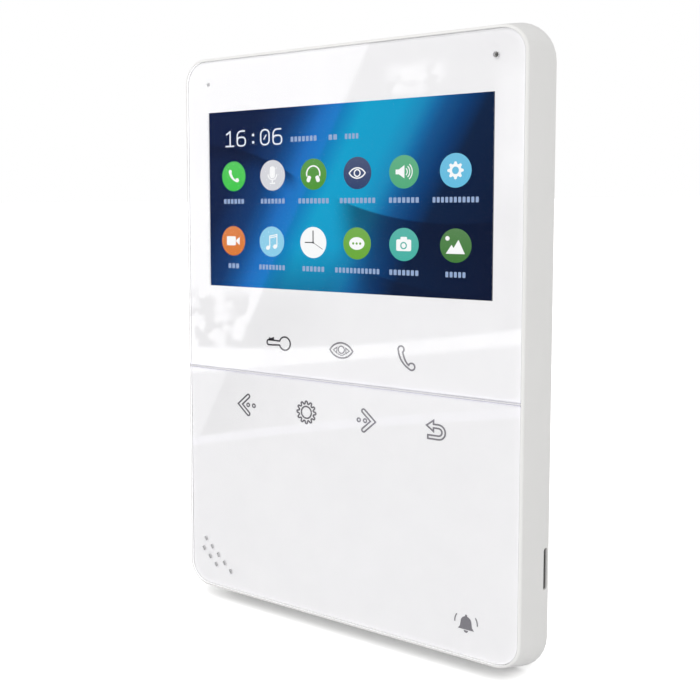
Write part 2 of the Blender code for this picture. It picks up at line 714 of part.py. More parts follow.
def make_key_board():
    outline = ((39, 5), (-39, 5), (-39, -28), (-53.4, -28), (-53.4, -47.5), (39, -47.5))
    board = piece("key_board", GREEN_BOARD, prism(outline, BOARD_FRONT, BOARD_BACK))
    cut(board, "holes", *[prism(circle(BOARD_HOLE, at, 12), 6, 9) for at in KEY_POSTS])
    make_chips(KEY_CHIPS)
    for name, x, z in TOUCH_KEYS:
        wire(f"touch_spring_{name}", STEEL, coil(x, z), SPRING_WIRE)


def coil(x, z, steps_per_turn=8):
    """Points of a conical spring between the web and the key board."""
    count = SPRING_TURNS * steps_per_turn
    start, end = SPRING_RADII
    points = []
    for step in range(count + 1):
        share = step / count
        radius = start + (end - start) * share
        angle = 2 * math.pi * SPRING_TURNS * share
        depth = SPRING_FRONT + (SPRING_BACK - SPRING_FRONT) * share
        points.append((x + radius * math.cos(angle), depth, z + radius * math.sin(angle)))
    return points


def make_cable_sockets():
    for name, x in CABLE_SOCKETS:
        housing = box(SOCKET_WIDTH, SOCKET_HEIGHT, (x, SOCKETS_Z))
        socket = piece(name, WHITE_NYLON, prism(housing, CHIP_FRONT, SOCKET_BACK))
        mouth = box(SOCKET_WIDTH - 2 * SOCKET_WALL, SOCKET_HEIGHT - 2 * SOCKET_WALL, (x, SOCKETS_Z))
        cut(socket, "mouth", prism(mouth, SOCKET_FLOOR, SOCKET_BACK + 1))


def make_cables():
    ribbon("key_ribbon", -20, 12, KEY_RIBBON_PATH)
    ribbon("card_ribbon", 36, 5, CARD_RIBBON_PATH)
    wire("speaker_cable", RUBBER, SPEAKER_CABLE, SPEAKER_CABLE_RADIUS)


def make_speaker():
    radius = SPEAKER_RADIUS
    gasket = ((radius, 3.1), (radius, 3.5), (9.8, 3.5), (9.8, 3.1))
    piece("speaker_gasket", BLACK_FOAM, turned(gasket, SPEAKER_AT), hollow=True)
    basket = (
        (radius, 3.6),
        (radius, 4.6),
        (8.2, 6.9),
        (8.2, 7.5),
        (6.4, 7.5),
        (6.4, 6.6),
        (10.4, 4.2),
        (10.4, 3.6),
    )
    piece("speaker_frame", STEEL, turned(basket, SPEAKER_AT), hollow=True)
    cone = ((3.6, 5.0), (4.2, 5.6), (10.1, 3.75), (10.1, 4.0), (4.4, 5.9), (4.0, 6.4))
    piece("speaker_cone", PAPER_CONE, turned(cone, SPEAKER_AT))
    piece("speaker_magnet", STEEL, turned(((7.6, 7.6), (7.6, 9.4), (7.2, 9.8)), SPEAKER_AT))


# ---------------------------------------------------------------- memory card and switch


def make_card_reader():
    board = piece(
        "card_board",
        GREEN_BOARD,
        prism(
            box(CARD_BOARD_WIDTH, CARD_BOARD_HEIGHT, CARD_BOARD_AT), CARD_BOARD_FRONT, CARD_BOARD_BACK
        ),
    )
    cut(board, "holes", *[prism(circle(BOARD_HOLE, at, 12), 10, 14) for at in (CARD_POST, CARD_PIN)])
    left, right = SOCKET_X
    socket = piece(
        "card_socket",
        STEEL,
        prism(box(right - left, 14.4, ((left + right) / 2, CARD_Z)), CARD_BOARD_BACK + 0.05, 14.8),
    )
    mouth_end = right + 1
    mouth = box(mouth_end - CARD_STOP_X, CARD_WIDTH + FIT, ((CARD_STOP_X + mouth_end) / 2, CARD_Z))
    half_gap = CARD_THICKNESS / 2 + FIT / 2
    cut(socket, "mouth", prism(mouth, CARD_DEPTH - half_gap, CARD_DEPTH + half_gap))


def make_memory_card():
    """Card with a stepped lower edge; it slides along X."""
    inner_x = CARD_END_X - CARD_LENGTH
    half = CARD_WIDTH / 2
    outline = (
        (CARD_END_X, CARD_Z + half),
        (inner_x, CARD_Z + half),
        (inner_x, CARD_Z - half + CARD_NOTCH),
        (inner_x + 7, CARD_Z - half + CARD_NOTCH),
        (inner_x + 8, CARD_Z - half),
        (CARD_END_X, CARD_Z - half),
    )
    half_thickness = CARD_THICKNESS / 2
    piece(
        "memory_card",
        BLACK_PLASTIC,
        prism(outline, CARD_DEPTH - half_thickness, CARD_DEPTH + half_thickness),
    )


def make_power_switch():
    left, right = SWITCH_BODY_X
    body = piece(
        "switch_body",
        STEEL,
        prism(box(right - left, 8.6, ((left + right) / 2, SWITCH_Z)), CHIP_FRONT, 11.7),
    )
    cut(body, "slot", side_prism(switch_slot_outline(), left - 1, -51.0))
    half_length, half_width = KNOB_LENGTH / 2, KNOB_WIDTH / 2
    knob = rounded(
        SWITCH_DEPTH - half_width,
        SWITCH_DEPTH + half_width,
        SWITCH_Z - half_length,
        SWITCH_Z + half_length,
        [0.3] * 4,
    )
    piece("switch_knob", BLACK_PLASTIC, side_prism(knob, KNOB_TIP_X, -51.4))


# ---------------------------------------------------------------- assembly


def clear_scene():
    for obj in list(bpy.data.objects):
        bpy.data.objects.remove(obj, do_unlink=True)


def make_parents():
    """Empties at the wall plane; the monitor slides up on the wall's bracket along Z."""
    for name in ("wall", "monitor"):
        bpy.context.scene.collection.objects.link(bpy.data.objects.new(name, None))


def main():
    clear_scene()
    make_parents()
    make_wall_bracket()
    make_front_casing()
    make_rear_casing()
    make_front_panels()
    make_print_films()
    make_display()
    make_main_board()
    make_light_and_microphone()
    make_key_board()
    make_cable_sockets()
    make_cables()
    make_speaker()
    make_card_reader()
    make_memory_card()
    make_power_switch()
    make_screws()


main()
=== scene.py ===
"""Looks of the video intercom monitor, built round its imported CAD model.

The model's frame: metres, +Z up, the screen faces -Y and the wall plane is at Y = 0. Shapes here are
written in millimetres as (x, z) outlines on the front, and `MM` turns them into metres.
"""

import json
import math

import bmesh
import bpy
from mathutils import Matrix, Vector


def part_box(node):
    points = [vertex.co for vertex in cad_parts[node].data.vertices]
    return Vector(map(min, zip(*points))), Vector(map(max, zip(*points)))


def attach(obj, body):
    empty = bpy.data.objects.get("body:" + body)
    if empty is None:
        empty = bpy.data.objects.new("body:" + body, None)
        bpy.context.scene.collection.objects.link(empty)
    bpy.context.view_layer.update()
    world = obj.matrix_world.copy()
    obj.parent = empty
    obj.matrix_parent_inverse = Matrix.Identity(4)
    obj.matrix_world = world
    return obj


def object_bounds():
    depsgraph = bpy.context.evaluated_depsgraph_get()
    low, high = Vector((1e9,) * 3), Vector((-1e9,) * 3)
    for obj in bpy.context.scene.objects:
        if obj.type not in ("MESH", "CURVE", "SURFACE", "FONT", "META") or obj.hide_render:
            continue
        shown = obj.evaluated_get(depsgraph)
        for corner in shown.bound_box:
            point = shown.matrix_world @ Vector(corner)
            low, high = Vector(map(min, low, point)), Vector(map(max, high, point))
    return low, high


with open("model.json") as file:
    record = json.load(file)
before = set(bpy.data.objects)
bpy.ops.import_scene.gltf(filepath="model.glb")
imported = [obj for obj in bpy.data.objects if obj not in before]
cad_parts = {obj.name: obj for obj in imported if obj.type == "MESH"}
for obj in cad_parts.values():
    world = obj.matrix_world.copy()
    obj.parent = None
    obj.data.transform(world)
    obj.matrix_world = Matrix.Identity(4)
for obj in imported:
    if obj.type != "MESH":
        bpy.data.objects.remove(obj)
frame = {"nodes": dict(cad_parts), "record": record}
cad_low, cad_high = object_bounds()

MM = 0.001
NODES = frame["nodes"]

FRONT_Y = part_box("upper_panel")[0].y
PANEL_BACK_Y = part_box("upper_panel")[1].y
FILM_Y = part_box("upper_print_film")[0].y
SCREEN_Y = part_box("lcd_panel")[0].y
SCREEN_HALF_WIDTH, SCREEN_HALF_HEIGHT, SCREEN_Z = 47.52, 26.93, 40.6

# Layers, front to back: the symbols lie between the clear sheet and the printed film, and the
# picture's parts lie in the film's window, just in front of the display glass
LAYER_GAP = 0.02 * MM
PRINT_LAYER = (PANEL_BACK_Y + LAYER_GAP, FILM_Y - LAYER_GAP)
DETAIL_LAYER = (SCREEN_Y - 0.23 * MM, SCREEN_Y - 0.18 * MM)
GLYPH_LAYER = (SCREEN_Y - 0.16 * MM, SCREEN_Y - 0.11 * MM)
DISC_LAYER = (SCREEN_Y - 0.09 * MM, SCREEN_Y - 0.04 * MM)


# ---------------------------------------------------------------- node graphs


def srgb(red, green, blue):
    """Linear colour from 0-255 display values."""
    def linear(value):
        share = value / 255
        return share / 12.92 if share <= 0.04045 else ((share + 0.055) / 1.055) ** 2.4

    return (linear(red), linear(green), linear(blue), 1.0)


class Graph:
    """A material's or the world's node tree, with short calls for its nodes."""

    def __init__(self, owner):
        owner.use_nodes = True
        self.owner = owner
        self.tree = owner.node_tree
        self.tree.nodes.clear()

    def node(self, kind, inputs=None, **settings):
        node = self.tree.nodes.new("ShaderNode" + kind)
        for key, value in settings.items():
            setattr(node, key, value)
        for key, value in (inputs or {}).items():
            self.plug(node.inputs[key], value)
        return node

    def plug(self, socket, value):
        if isinstance(value, bpy.types.NodeSocket):
            self.tree.links.new(value, socket)
        else:
            socket.default_value = value

    def math(self, operation, first, second=0.0, clamp=False):
        node = self.node("Math", {0: first, 1: second}, operation=operation, use_clamp=clamp)
        return node.outputs[0]

    def curve(self, value, start, slope, bend=0.0):
        """start + slope value + bend value^2"""
        rise = self.node("Math", {0: value, 1: bend, 2: slope}, operation="MULTIPLY_ADD").outputs[0]
        return self.node("Math", {0: value, 1: rise, 2: start}, operation="MULTIPLY_ADD").outputs[0]

    def spread(self, value, low, high, to_low=0.0, to_high=1.0, smooth=False):
        """Maps a value from one range to another, clamped."""
        node = self.node(
            "MapRange",
            {"Value": value, "From Min": low, "From Max": high, "To Min": to_low, "To Max": to_high},
            interpolation_type="SMOOTHSTEP" if smooth else "LINEAR",
        )
        return node.outputs["Result"]

    def mix(self, share, first, second, blend="MIX"):
        node = self.node("Mix", {0: share, 6: first, 7: second}, data_type="RGBA", blend_type=blend)
        return node.outputs[2]

    def ramp(self, value, stops, interpolation="EASE"):
        node = self.node("ValToRGB", {"Fac": value})
        band = node.color_ramp
        band.interpolation = interpolation
        while len(band.elements) < len(stops):
            band.elements.new(0.5)
        for element, (place, colour) in zip(band.elements, stops):
            element.position = place
            element.color = colour
        return node.outputs["Color"]

    def place(self):
        """The shading point in the model's frame, in millimetres."""
        coordinates = self.node("TexCoord").outputs["Object"]
        return self.node("VectorMath", {0: coordinates, "Scale": 1 / MM}, operation="SCALE").outputs[0]

    def axes(self, vector):
        return self.node("SeparateXYZ", {0: vector}).outputs

    def noise(self, vector, size, detail=2.0, roughness=0.5):
        """Noise whose features are about this many millimetres wide."""
        node = self.node(
            "TexNoise", {"Vector": vector, "Scale": 1 / size, "Detail": detail, "Roughness": roughness}
        )
        return node.outputs["Fac"]

    def bump(self, height, depth, strength=1.0):
        """Normal from a height; depth is the relief in millimetres."""
        node = self.node("Bump", {"Height": height, "Distance": depth * MM, "Strength": strength})
        return node.outputs["Normal"]

    def principled(self, **inputs):
        """Principled shader; base_color=... fills the input called Base Color, and so on."""
        shader = self.node("BsdfPrincipled")
        for key, value in inputs.items():
            self.plug(shader.inputs[key.replace("_", " ").title().replace("Ior", "IOR")], value)
        return shader.outputs[0]

    def finish(self, shader):
        self.node("OutputMaterial", {"Surface": shader})
        return self.owner


def new_graph(name):
    return Graph(bpy.data.materials.new(name))


# ---------------------------------------------------------------- materials


def edge_share(g, radius):
    """0 on flat faces, rising to 1 on edges narrower than the radius in millimetres."""
    soft = g.node("Bevel", {"Radius": radius * MM}, samples=6).outputs["Normal"]
    true_normal = g.node("NewGeometry").outputs["Normal"]
    alike = g.node("VectorMath", {0: soft, 1: true_normal}, operation="DOT_PRODUCT").outputs["Value"]
    return g.spread(alike, 1.0, 0.8)


def moulded_plastic(name, colour, roughness, grain=0.12, relief=0.006, edge_highlight_and_gloss=0.25):
    """Fine spark-eroded grain, slight random tone differences, smoother edges, and a painted highlight that
    makes the edges paler.
    """
    g = new_graph(name)
    at = g.place()
    tone = g.noise(at, 14, 3)
    shade = g.mix(g.spread(tone, 0.3, 0.7), [c * 0.985 for c in colour[:3]] + [1], colour)
    # Painted highlight: the edges are painted paler, as if light caught them, and are also made smoother.
    edges = g.math("MULTIPLY", edge_share(g, 0.35), edge_highlight_and_gloss)
    pale = [min(1, c * 1.12 + 0.01) for c in colour[:3]] + [1]
    speckle = g.noise(at, grain, 2, 0.6)
    polish = g.node("Math", {0: speckle, 1: 0.10, 2: roughness - 0.05}, operation="MULTIPLY_ADD").outputs[0]
    return g.finish(
        g.principled(
            base_color=g.mix(edges, shade, pale),
            roughness=g.math("SUBTRACT", polish, g.math("MULTIPLY", edges, 0.25)),
            specular_ior_level=0.5,
            normal=g.bump(speckle, relief),
        )
    )


def printed_film(name):
    """White ink under the sheet: almost even, with a cool tint and a faint ink mottle."""
    g = new_graph(name)
    at = g.place()
    mottle = g.spread(g.noise(at, 6, 4), 0.3, 0.7)
    colour = g.mix(mottle, (0.850, 0.846, 0.860, 1), (0.866, 0.862, 0.874, 1))
    weave = g.noise(at, 0.15, 2)
    return g.finish(
        g.principled(
            base_color=colour,
            roughness=g.spread(weave, 0.3, 0.7, 0.5, 0.6),
            specular_ior_level=0.0,
            normal=g.bump(weave, 0.002),
        )
    )


ACRYLIC_IOR = 1.49
DISPLAY_COATING = 0.02  # how much the sheet mirrors over the display, against elsewhere
EDGE_GLOW = 0.50  # painted glow: emission on the sheet's painted edges, seen from inside, standing in for light trapped in the sheet
EDGE_START, EDGE_RISE, SEAM_Z = 53.0, 27.3, -12.6  # where the outer edges and the seam are
FLAT_FACING = 0.9  # surfaces whose normal leans further than this from Y are edges
# Painted shade: the walls of holes in the sheet are painted grey, as the shade inside the slots.
HOLE_PAINTED_SHADE = (0.64, 0.64, 0.65, 1)
RIM_PAINT = (0.86, 0.86, 0.875, 1)
# Painted shade: the seam's walls are painted a darker, cool lavender grey, as the shade in the groove
# between the panels.
SEAM_PAINTED_SHADE = (0.80, 0.79, 0.90, 1)


def sheet_face(g, at, x, z, backfacing):
    """The sheet's flat faces: clear, and mirror-like by Fresnel, less so over the display."""
    ripple = g.bump(g.noise(at, 45, 1), 0.02)
    fresnel = g.node("Fresnel", {"IOR": ACRYLIC_IOR, "Normal": ripple}).outputs[0]
    beside = g.math("GREATER_THAN", g.math("ABSOLUTE", x), SCREEN_HALF_WIDTH)
    from_screen = g.math("ABSOLUTE", g.math("SUBTRACT", z, SCREEN_Z))
    above = g.math("GREATER_THAN", from_screen, SCREEN_HALF_HEIGHT)
    coating = g.spread(g.math("MAXIMUM", beside, above), 0, 1, DISPLAY_COATING, 1.0)
    outside = g.math("SUBTRACT", 1.0, backfacing)
    share = g.math("MULTIPLY", g.math("MULTIPLY", fresnel, coating), outside)
    smear = g.spread(g.noise(at, 9, 4), 0.45, 0.75, 0.02, 0.06)
    gloss = g.node("BsdfGlossy", {"Roughness": smear, "Normal": ripple}).outputs[0]
    clear = g.node("BsdfTransparent").outputs[0]
    return g.node("MixShader", {0: share, 1: clear, 2: gloss}).outputs[0]


def sheet_edge(g, x, z, backfacing):
    """The sheet's painted edges: pale round the outside, a lavender grey painted shade at the seam, both
    with a painted glow seen from inside, and a grey painted shade in holes.
    """
    above_middle = g.math("SUBTRACT", g.math("ABSOLUTE", z), EDGE_RISE)
    rim = g.math("MAXIMUM", g.math("ABSOLUTE", x), above_middle)
    seam = g.math("LESS_THAN", g.math("ABSOLUTE", g.math("SUBTRACT", z, SEAM_Z)), 1.0)
    outer = g.math("MAXIMUM", g.math("GREATER_THAN", rim, EDGE_START), seam)
    colour = g.mix(outer, HOLE_PAINTED_SHADE, g.mix(seam, RIM_PAINT, SEAM_PAINTED_SHADE))
    paint = g.principled(base_color=colour, roughness=0.6, specular_ior_level=0.0)
    # Painted glow: the outer edges and the seam give off light of their own where they are seen from
    # inside.
    painted_glow_strength = g.math("MULTIPLY", g.math("MULTIPLY", backfacing, outer), EDGE_GLOW)
    glow = g.node("Emission", {"Color": (1, 1, 1, 1), "Strength": painted_glow_strength}).outputs[0]
    return g.node("AddShader", {0: paint, 1: glow}).outputs[0]


def clear_sheet(name):
    """Clear acrylic sheet with painted edges."""
    g = new_graph(name)
    at = g.place()
    x, _, z = g.axes(at)
    geometry = g.node("NewGeometry").outputs
    backfacing = geometry["Backfacing"]
    facing = g.math("ABSOLUTE", g.axes(geometry["True Normal"])[1])
    is_edge = g.math("LESS_THAN", facing, FLAT_FACING)
    face, edge = sheet_face(g, at, x, z, backfacing), sheet_edge(g, x, z, backfacing)
    return g.finish(g.node("MixShader", {0: is_edge, 1: face, 2: edge}).outputs[0])


PIXEL_PITCH = 0.119
DISPLAY_BLACK, INK_BLACK = (0.004, 0.004, 0.006, 1), (0.004, 0.004, 0.004, 1)


def pixel_grid(g, at):
    """Brightness of the display's pixels."""
    x, _, z = g.axes(at)
    lines = [
        g.math("ABSOLUTE", g.math("SINE", g.math("MULTIPLY", axis, math.pi / PIXEL_PITCH)))
        for axis in (x, z)
    ]
    return g.spread(g.math("MULTIPLY", *lines), 0.0, 0.6, 0.90, 1.04)


# Waves in the picture: curve of the edge, width of the shadow below it, where it starts and ends
# along u, and how dark it is
WAVES = (
    ((-3.62, -0.80, -0.0077), 6, -60, -13, 0.60),
    ((-0.26, -0.374, 0.0052), 24, -3, 60, 0.66),
    ((-17.23, -0.39, 0.00433), 14, 2, 60, 0.45),
)


def wave_shadow(g, u, v, curve, width, start, end):
    """Darkness below a curved edge from one u to another, fading over its width."""
    below = g.math("SUBTRACT", g.curve(u, *curve), v)
    edge = g.spread(below, -0.25, 0.35, smooth=True)
    fade = g.spread(below, 0.0, width, 1.0, 0.0, smooth=True)
    begins = g.spread(u, start, start + 10, smooth=True)
    reach = g.math("MULTIPLY", begins, g.spread(u, end, end - 5, smooth=True))
    return g.math("MULTIPLY", g.math("MULTIPLY", edge, fade), reach)


def sweep_colour(g, sweep):
    """The picture's blues across its diagonal sweep, each stop at a distance in millimetres."""
    stops = (
        (-56, srgb(18, 32, 70)),
        (-42, srgb(16, 34, 72)),
        (-30, srgb(19, 57, 110)),
        (-25, srgb(20, 78, 142)),
        (-19, srgb(30, 110, 190)),
        (-13.5, srgb(30, 124, 200)),
        (-12, srgb(18, 126, 188)),
        (-5, srgb(20, 160, 204)),
        (7, srgb(22, 156, 201)),
        (13, srgb(26, 138, 187)),
        (17, srgb(21, 106, 164)),
        (20.5, srgb(20, 82, 138)),
        (26, srgb(11, 60, 113)),
        (32, srgb(12, 34, 66)),
        (60, srgb(10, 22, 50)),
    )
    low, high = stops[0][0], stops[-1][0]
    places = [((place - low) / (high - low), colour) for place, colour in stops]
    return g.ramp(g.spread(sweep, low, high), places, "LINEAR")


def screen_picture(name):
    """Display glass showing a plain abstract picture: a diagonal sweep of blues with soft waves."""
    g = new_graph(name)
    at = g.place()
    u, _, z = g.axes(at)
    v = g.math("SUBTRACT", z, SCREEN_Z)
    sweep = g.math("SUBTRACT", u, g.math("MULTIPLY", v, 0.54))
    colour = sweep_colour(g, sweep)
    towards_corner = g.math("ADD", g.curve(u, 0, -0.6), v)
    corner = g.spread(towards_corner, 24, 46, 0.0, 0.5, smooth=True)
    colour = g.mix(corner, colour, srgb(17, 30, 62))
    low_part = g.math("MULTIPLY", g.spread(v, -14, -27, 0.0, 0.60), g.spread(sweep, -14, -8))
    low_part = g.math("MULTIPLY", low_part, g.spread(sweep, 22, 10))
    colour = g.mix(low_part, colour, srgb(16, 76, 122))
    for curve, width, start, end, depth in WAVES:
        shadow = g.math("MULTIPLY", wave_shadow(g, u, v, curve, width, start, end), depth)
        colour = g.mix(shadow, colour, srgb(9, 20, 46))
    light = g.node("Emission", {"Color": colour, "Strength": pixel_grid(g, at)}).outputs[0]
    glass = g.principled(base_color=DISPLAY_BLACK, roughness=0.4, specular_ior_level=0.0)
    return g.finish(g.node("AddShader", {0: light, 1: glass}).outputs[0])


def lit_picture(name, colour, soft=0.10):
    """A part of the displayed picture: lit colour, a little paler towards the top, with pixels."""
    g = new_graph(name)
    at = g.place()
    z = g.axes(at)[2]
    paler = [c + (1 - c) * soft for c in colour[:3]] + [1]
    cell = g.math("FRACT", g.math("MULTIPLY", z, 0.05))
    tone = g.mix(cell, colour, paler)
    light = g.node("Emission", {"Color": tone, "Strength": pixel_grid(g, at)}).outputs[0]
    glass = g.principled(base_color=INK_BLACK, roughness=0.4, specular_ior_level=0.0)
    return g.finish(g.node("AddShader", {0: light, 1: glass}).outputs[0])


def printed_ink(name, colour):
    """Screen-printed symbol: slightly uneven grey ink."""
    g = new_graph(name)
    at = g.place()
    grain = g.noise(at, 0.12, 3, 0.7)
    pale = [c * 1.25 for c in colour[:3]] + [1]
    return g.finish(
        g.principled(
            base_color=g.mix(g.spread(grain, 0.35, 0.75), colour, pale),
            roughness=0.6,
            specular_ior_level=0.0,
            normal=g.bump(grain, 0.003),
        )
    )


def metal(name, colour, roughness, along=(1, 1, 1), spangle=0.0):
    """Rolled or drawn metal: lines along one axis, stains, and zinc flowers if asked for."""
    g = new_graph(name)
    at = g.place()
    stretched = g.node("VectorMath", {0: at, 1: along}, operation="MULTIPLY").outputs[0]
    lines = g.noise(stretched, 0.25, 4, 0.7)
    stains = g.noise(at, 9, 3)
    tone = g.mix(g.spread(stains, 0.3, 0.7), [c * 0.86 for c in colour[:3]] + [1], colour)
    if spangle:
        flowers = g.node("TexVoronoi", {"Vector": at, "Scale": 1 / spangle}).outputs["Color"]
        shade = g.axes(flowers)[0]
        tone = g.mix(g.spread(shade, 0, 1, 0.0, 0.28), tone, (0.95, 0.96, 0.98, 1))
        lines = g.math("ADD", g.math("MULTIPLY", lines, 0.5), g.math("MULTIPLY", shade, 0.5))
    return g.finish(
        g.principled(
            base_color=tone,
            metallic=1.0,
            roughness=g.spread(lines, 0.25, 0.75, roughness - 0.08, roughness + 0.10),
            normal=g.bump(lines, 0.004),
        )
    )


def dull(name, colour, roughness, grain, relief, contrast=0.35):
    """Foam, rubber, paper, ferrite and other matt matter, by its grain size and relief."""
    g = new_graph(name)
    at = g.place()
    cells = g.noise(at, grain, 4, 0.65)
    low = [c * (1 - contrast) for c in colour[:3]] + [1]
    high = [min(1, c * (1 + contrast)) for c in colour[:3]] + [1]
    return g.finish(
        g.principled(
            base_color=g.mix(g.spread(cells, 0.3, 0.7), low, high),
            roughness=g.spread(cells, 0.3, 0.7, roughness, roughness - 0.08),
            normal=g.bump(cells, relief),
        )
    )


def circuit_board(name):
    """Green solder mask over copper tracks, with a fine glass weave."""
    g = new_graph(name)
    at = g.place()
    blocks = g.node(
        "TexVoronoi", {"Vector": at, "Scale": 0.22}, distance="MANHATTAN", feature="F1"
    ).outputs["Distance"]
    tracks = g.spread(g.math("FRACT", g.math("MULTIPLY", blocks, 3.0)), 0.35, 0.45, smooth=True)
    weave = g.noise(at, 0.3, 2)
    colour = g.mix(tracks, srgb(12, 84, 44), srgb(34, 118, 60))
    return g.finish(
        g.principled(
            base_color=g.mix(g.spread(weave, 0.3, 0.7, 0.0, 0.2), colour, srgb(8, 60, 34)),
            roughness=g.spread(weave, 0.3, 0.7, 0.32, 0.42),
            coat_weight=0.4,
            normal=g.bump(g.math("ADD", tracks, g.math("MULTIPLY", weave, 0.2)), 0.03),
        )
    )


def flexible_circuit(name):
    """Amber film with parallel copper lines."""
    g = new_graph(name)
    at = g.place()
    x = g.axes(at)[0]
    lines = g.spread(g.math("ABSOLUTE", g.math("SINE", g.math("MULTIPLY", x, math.pi / 0.5))), 0.35, 0.6)
    colour = g.mix(lines, srgb(120, 62, 14), srgb(206, 140, 52))
    return g.finish(
        g.principled(base_color=colour, roughness=0.35, coat_weight=0.5, normal=g.bump(lines, 0.02))
    )


def milky(name, colour, roughness, clearness):
    """Diffuser, light guide and light pipe: pale, partly clear plastic."""
    g = new_graph(name)
    at = g.place()
    frost = g.noise(at, 0.4, 3)
    return g.finish(
        g.principled(
            base_color=g.mix(g.spread(frost, 0.3, 0.7, 0, 0.12), colour, (0.7, 0.74, 0.78, 1)),
            roughness=g.spread(frost, 0.3, 0.7, roughness, roughness + 0.1),
            transmission_weight=clearness,
            ior=ACRYLIC_IOR,
            normal=g.bump(frost, 0.004),
        )
    )


MATERIALS = {
    "casing_white": moulded_plastic("casing_white", (0.872, 0.868, 0.852, 1), 0.42),
    "print_white": printed_film("print_white"),
    "clear_panel": clear_sheet("clear_panel"),
    "screen": screen_picture("screen"),
    "foam_black": dull("foam_black", (0.022, 0.022, 0.023, 1), 0.95, 0.5, 0.12),
    "rubber_black": dull("rubber_black", (0.03, 0.03, 0.032, 1), 0.80, 0.3, 0.02),
    "black_plastic": dull("black_plastic", (0.018, 0.018, 0.020, 1), 0.50, 0.15, 0.01),
    "card_black": dull("card_black", (0.020, 0.020, 0.022, 1), 0.42, 0.10, 0.004),
    "knob_black": dull("knob_black", (0.024, 0.024, 0.026, 1), 0.48, 0.12, 0.008),
    "ferrite": dull("ferrite", (0.060, 0.060, 0.064, 1), 0.62, 0.25, 0.03),
    "cone_black": dull("cone_black", (0.040, 0.040, 0.040, 1), 0.90, 0.6, 0.05),
    "nylon_white": dull("nylon_white", (0.76, 0.74, 0.69, 1), 0.48, 0.4, 0.01, 0.04),
    "steel": metal("steel", (0.58, 0.58, 0.57, 1), 0.34, (0.08, 1, 1)),
    "zinc_steel": metal("zinc_steel", (0.62, 0.63, 0.64, 1), 0.42, (1, 1, 0.15), 5.0),
    "spring_steel": metal("spring_steel", (0.60, 0.58, 0.54, 1), 0.26),
    "screw_steel": metal("screw_steel", (0.55, 0.55, 0.56, 1), 0.30),
    "capacitor_can": metal("capacitor_can", (0.70, 0.70, 0.71, 1), 0.28, (1, 0.1, 1)),
    "diffuser": milky("diffuser", (0.86, 0.87, 0.88, 1), 0.55, 0.25),
    "light_guide_clear": milky("light_guide_clear", (0.92, 0.94, 0.95, 1), 0.12, 0.75),
    "board_green": circuit_board("board_green"),
    "flex_amber": flexible_circuit("flex_amber"),
}


def smooth_shading_group():
    """Geometry nodes that weld the mesh and smooth it, except across edges over 30 degrees."""
    tree = bpy.data.node_groups.new("smooth_shading", "GeometryNodeTree")
    tree.interface.new_socket("Geometry", in_out="INPUT", socket_type="NodeSocketGeometry")
    tree.interface.new_socket("Geometry", in_out="OUTPUT", socket_type="NodeSocketGeometry")
    start = tree.nodes.new("NodeGroupInput")
    end = tree.nodes.new("NodeGroupOutput")
    plain = tree.nodes.new("GeometryNodeRemoveAttribute")
    plain.inputs["Name"].default_value = "custom_normal"
    weld = tree.nodes.new("GeometryNodeMergeByDistance")
    weld.inputs["Distance"].default_value = 0.002 * MM
    faces = tree.nodes.new("GeometryNodeSetShadeSmooth")
    faces.domain = "FACE"
    edges = tree.nodes.new("GeometryNodeSetShadeSmooth")
    edges.domain = "EDGE"
    angle = tree.nodes.new("GeometryNodeInputMeshEdgeAngle")
    blunt = tree.nodes.new("FunctionNodeCompare")
    blunt.operation = "LESS_THAN"
    blunt.inputs[1].default_value = math.radians(30)
    link = tree.links.new
    link(start.outputs[0], plain.inputs["Geometry"])
    link(plain.outputs["Geometry"], weld.inputs["Geometry"])
    link(weld.outputs["Geometry"], faces.inputs["Geometry"])
    link(faces.outputs["Geometry"], edges.inputs["Geometry"])
    link(angle.outputs["Unsigned Angle"], blunt.inputs[0])
    link(blunt.outputs[0], edges.inputs["Shade Smooth"])
    link(edges.outputs["Geometry"], end.inputs[0])
    return tree


def dress_cad_nodes():
    smoothing = smooth_shading_group()
    slots = {part["node"]: part["material_slot"] for part in frame["record"]["subparts"]}
    for name, obj in NODES.items():
        obj.data.materials.clear()
        obj.data.materials.append(MATERIALS[slots[name]])
        modifier = obj.modifiers.new("smooth_shading", "NODES")
        modifier.node_group = smoothing


# ---------------------------------------------------------------- flat shapes


def circle(radius, centre=(0, 0), steps=40, squeeze=1.0):
    turns = [2 * math.pi * step / steps for step in range(steps)]
    return [
        (centre[0] + radius * math.cos(a), centre[1] + radius * squeeze * math.sin(a)) for a in turns
    ]


def arc(radius, start, end, centre=(0, 0), steps=16):
    """Points along a circle, between two angles in degrees."""
    points = []
    for step in range(steps + 1):
        angle = math.radians(start + (end - start) * step / steps)
        points.append((centre[0] + radius * math.cos(angle), centre[1] + radius * math.sin(angle)))
    return points


def rounded_box(width, height, radius, centre=(0, 0)):
    points = []
    for quarter, (side, up) in enumerate(((1, 1), (-1, 1), (-1, -1), (1, -1))):
        corner = (centre[0] + side * (width / 2 - radius), centre[1] + up * (height / 2 - radius))
        points += arc(radius, 90 * quarter, 90 * quarter + 90, corner, 5)
    return points


def turned(points, degrees, centre=(0, 0)):
    turn = math.radians(degrees)
    cos, sin = math.cos(turn), math.sin(turn)
    return [
        (
            centre[0] + (x - centre[0]) * cos - (z - centre[1]) * sin,
            centre[1] + (x - centre[0]) * sin + (z - centre[1]) * cos,
        )
        for x, z in points
    ]


def moved(points, x, z):
    return [(px + x, pz + z) for px, pz in points]


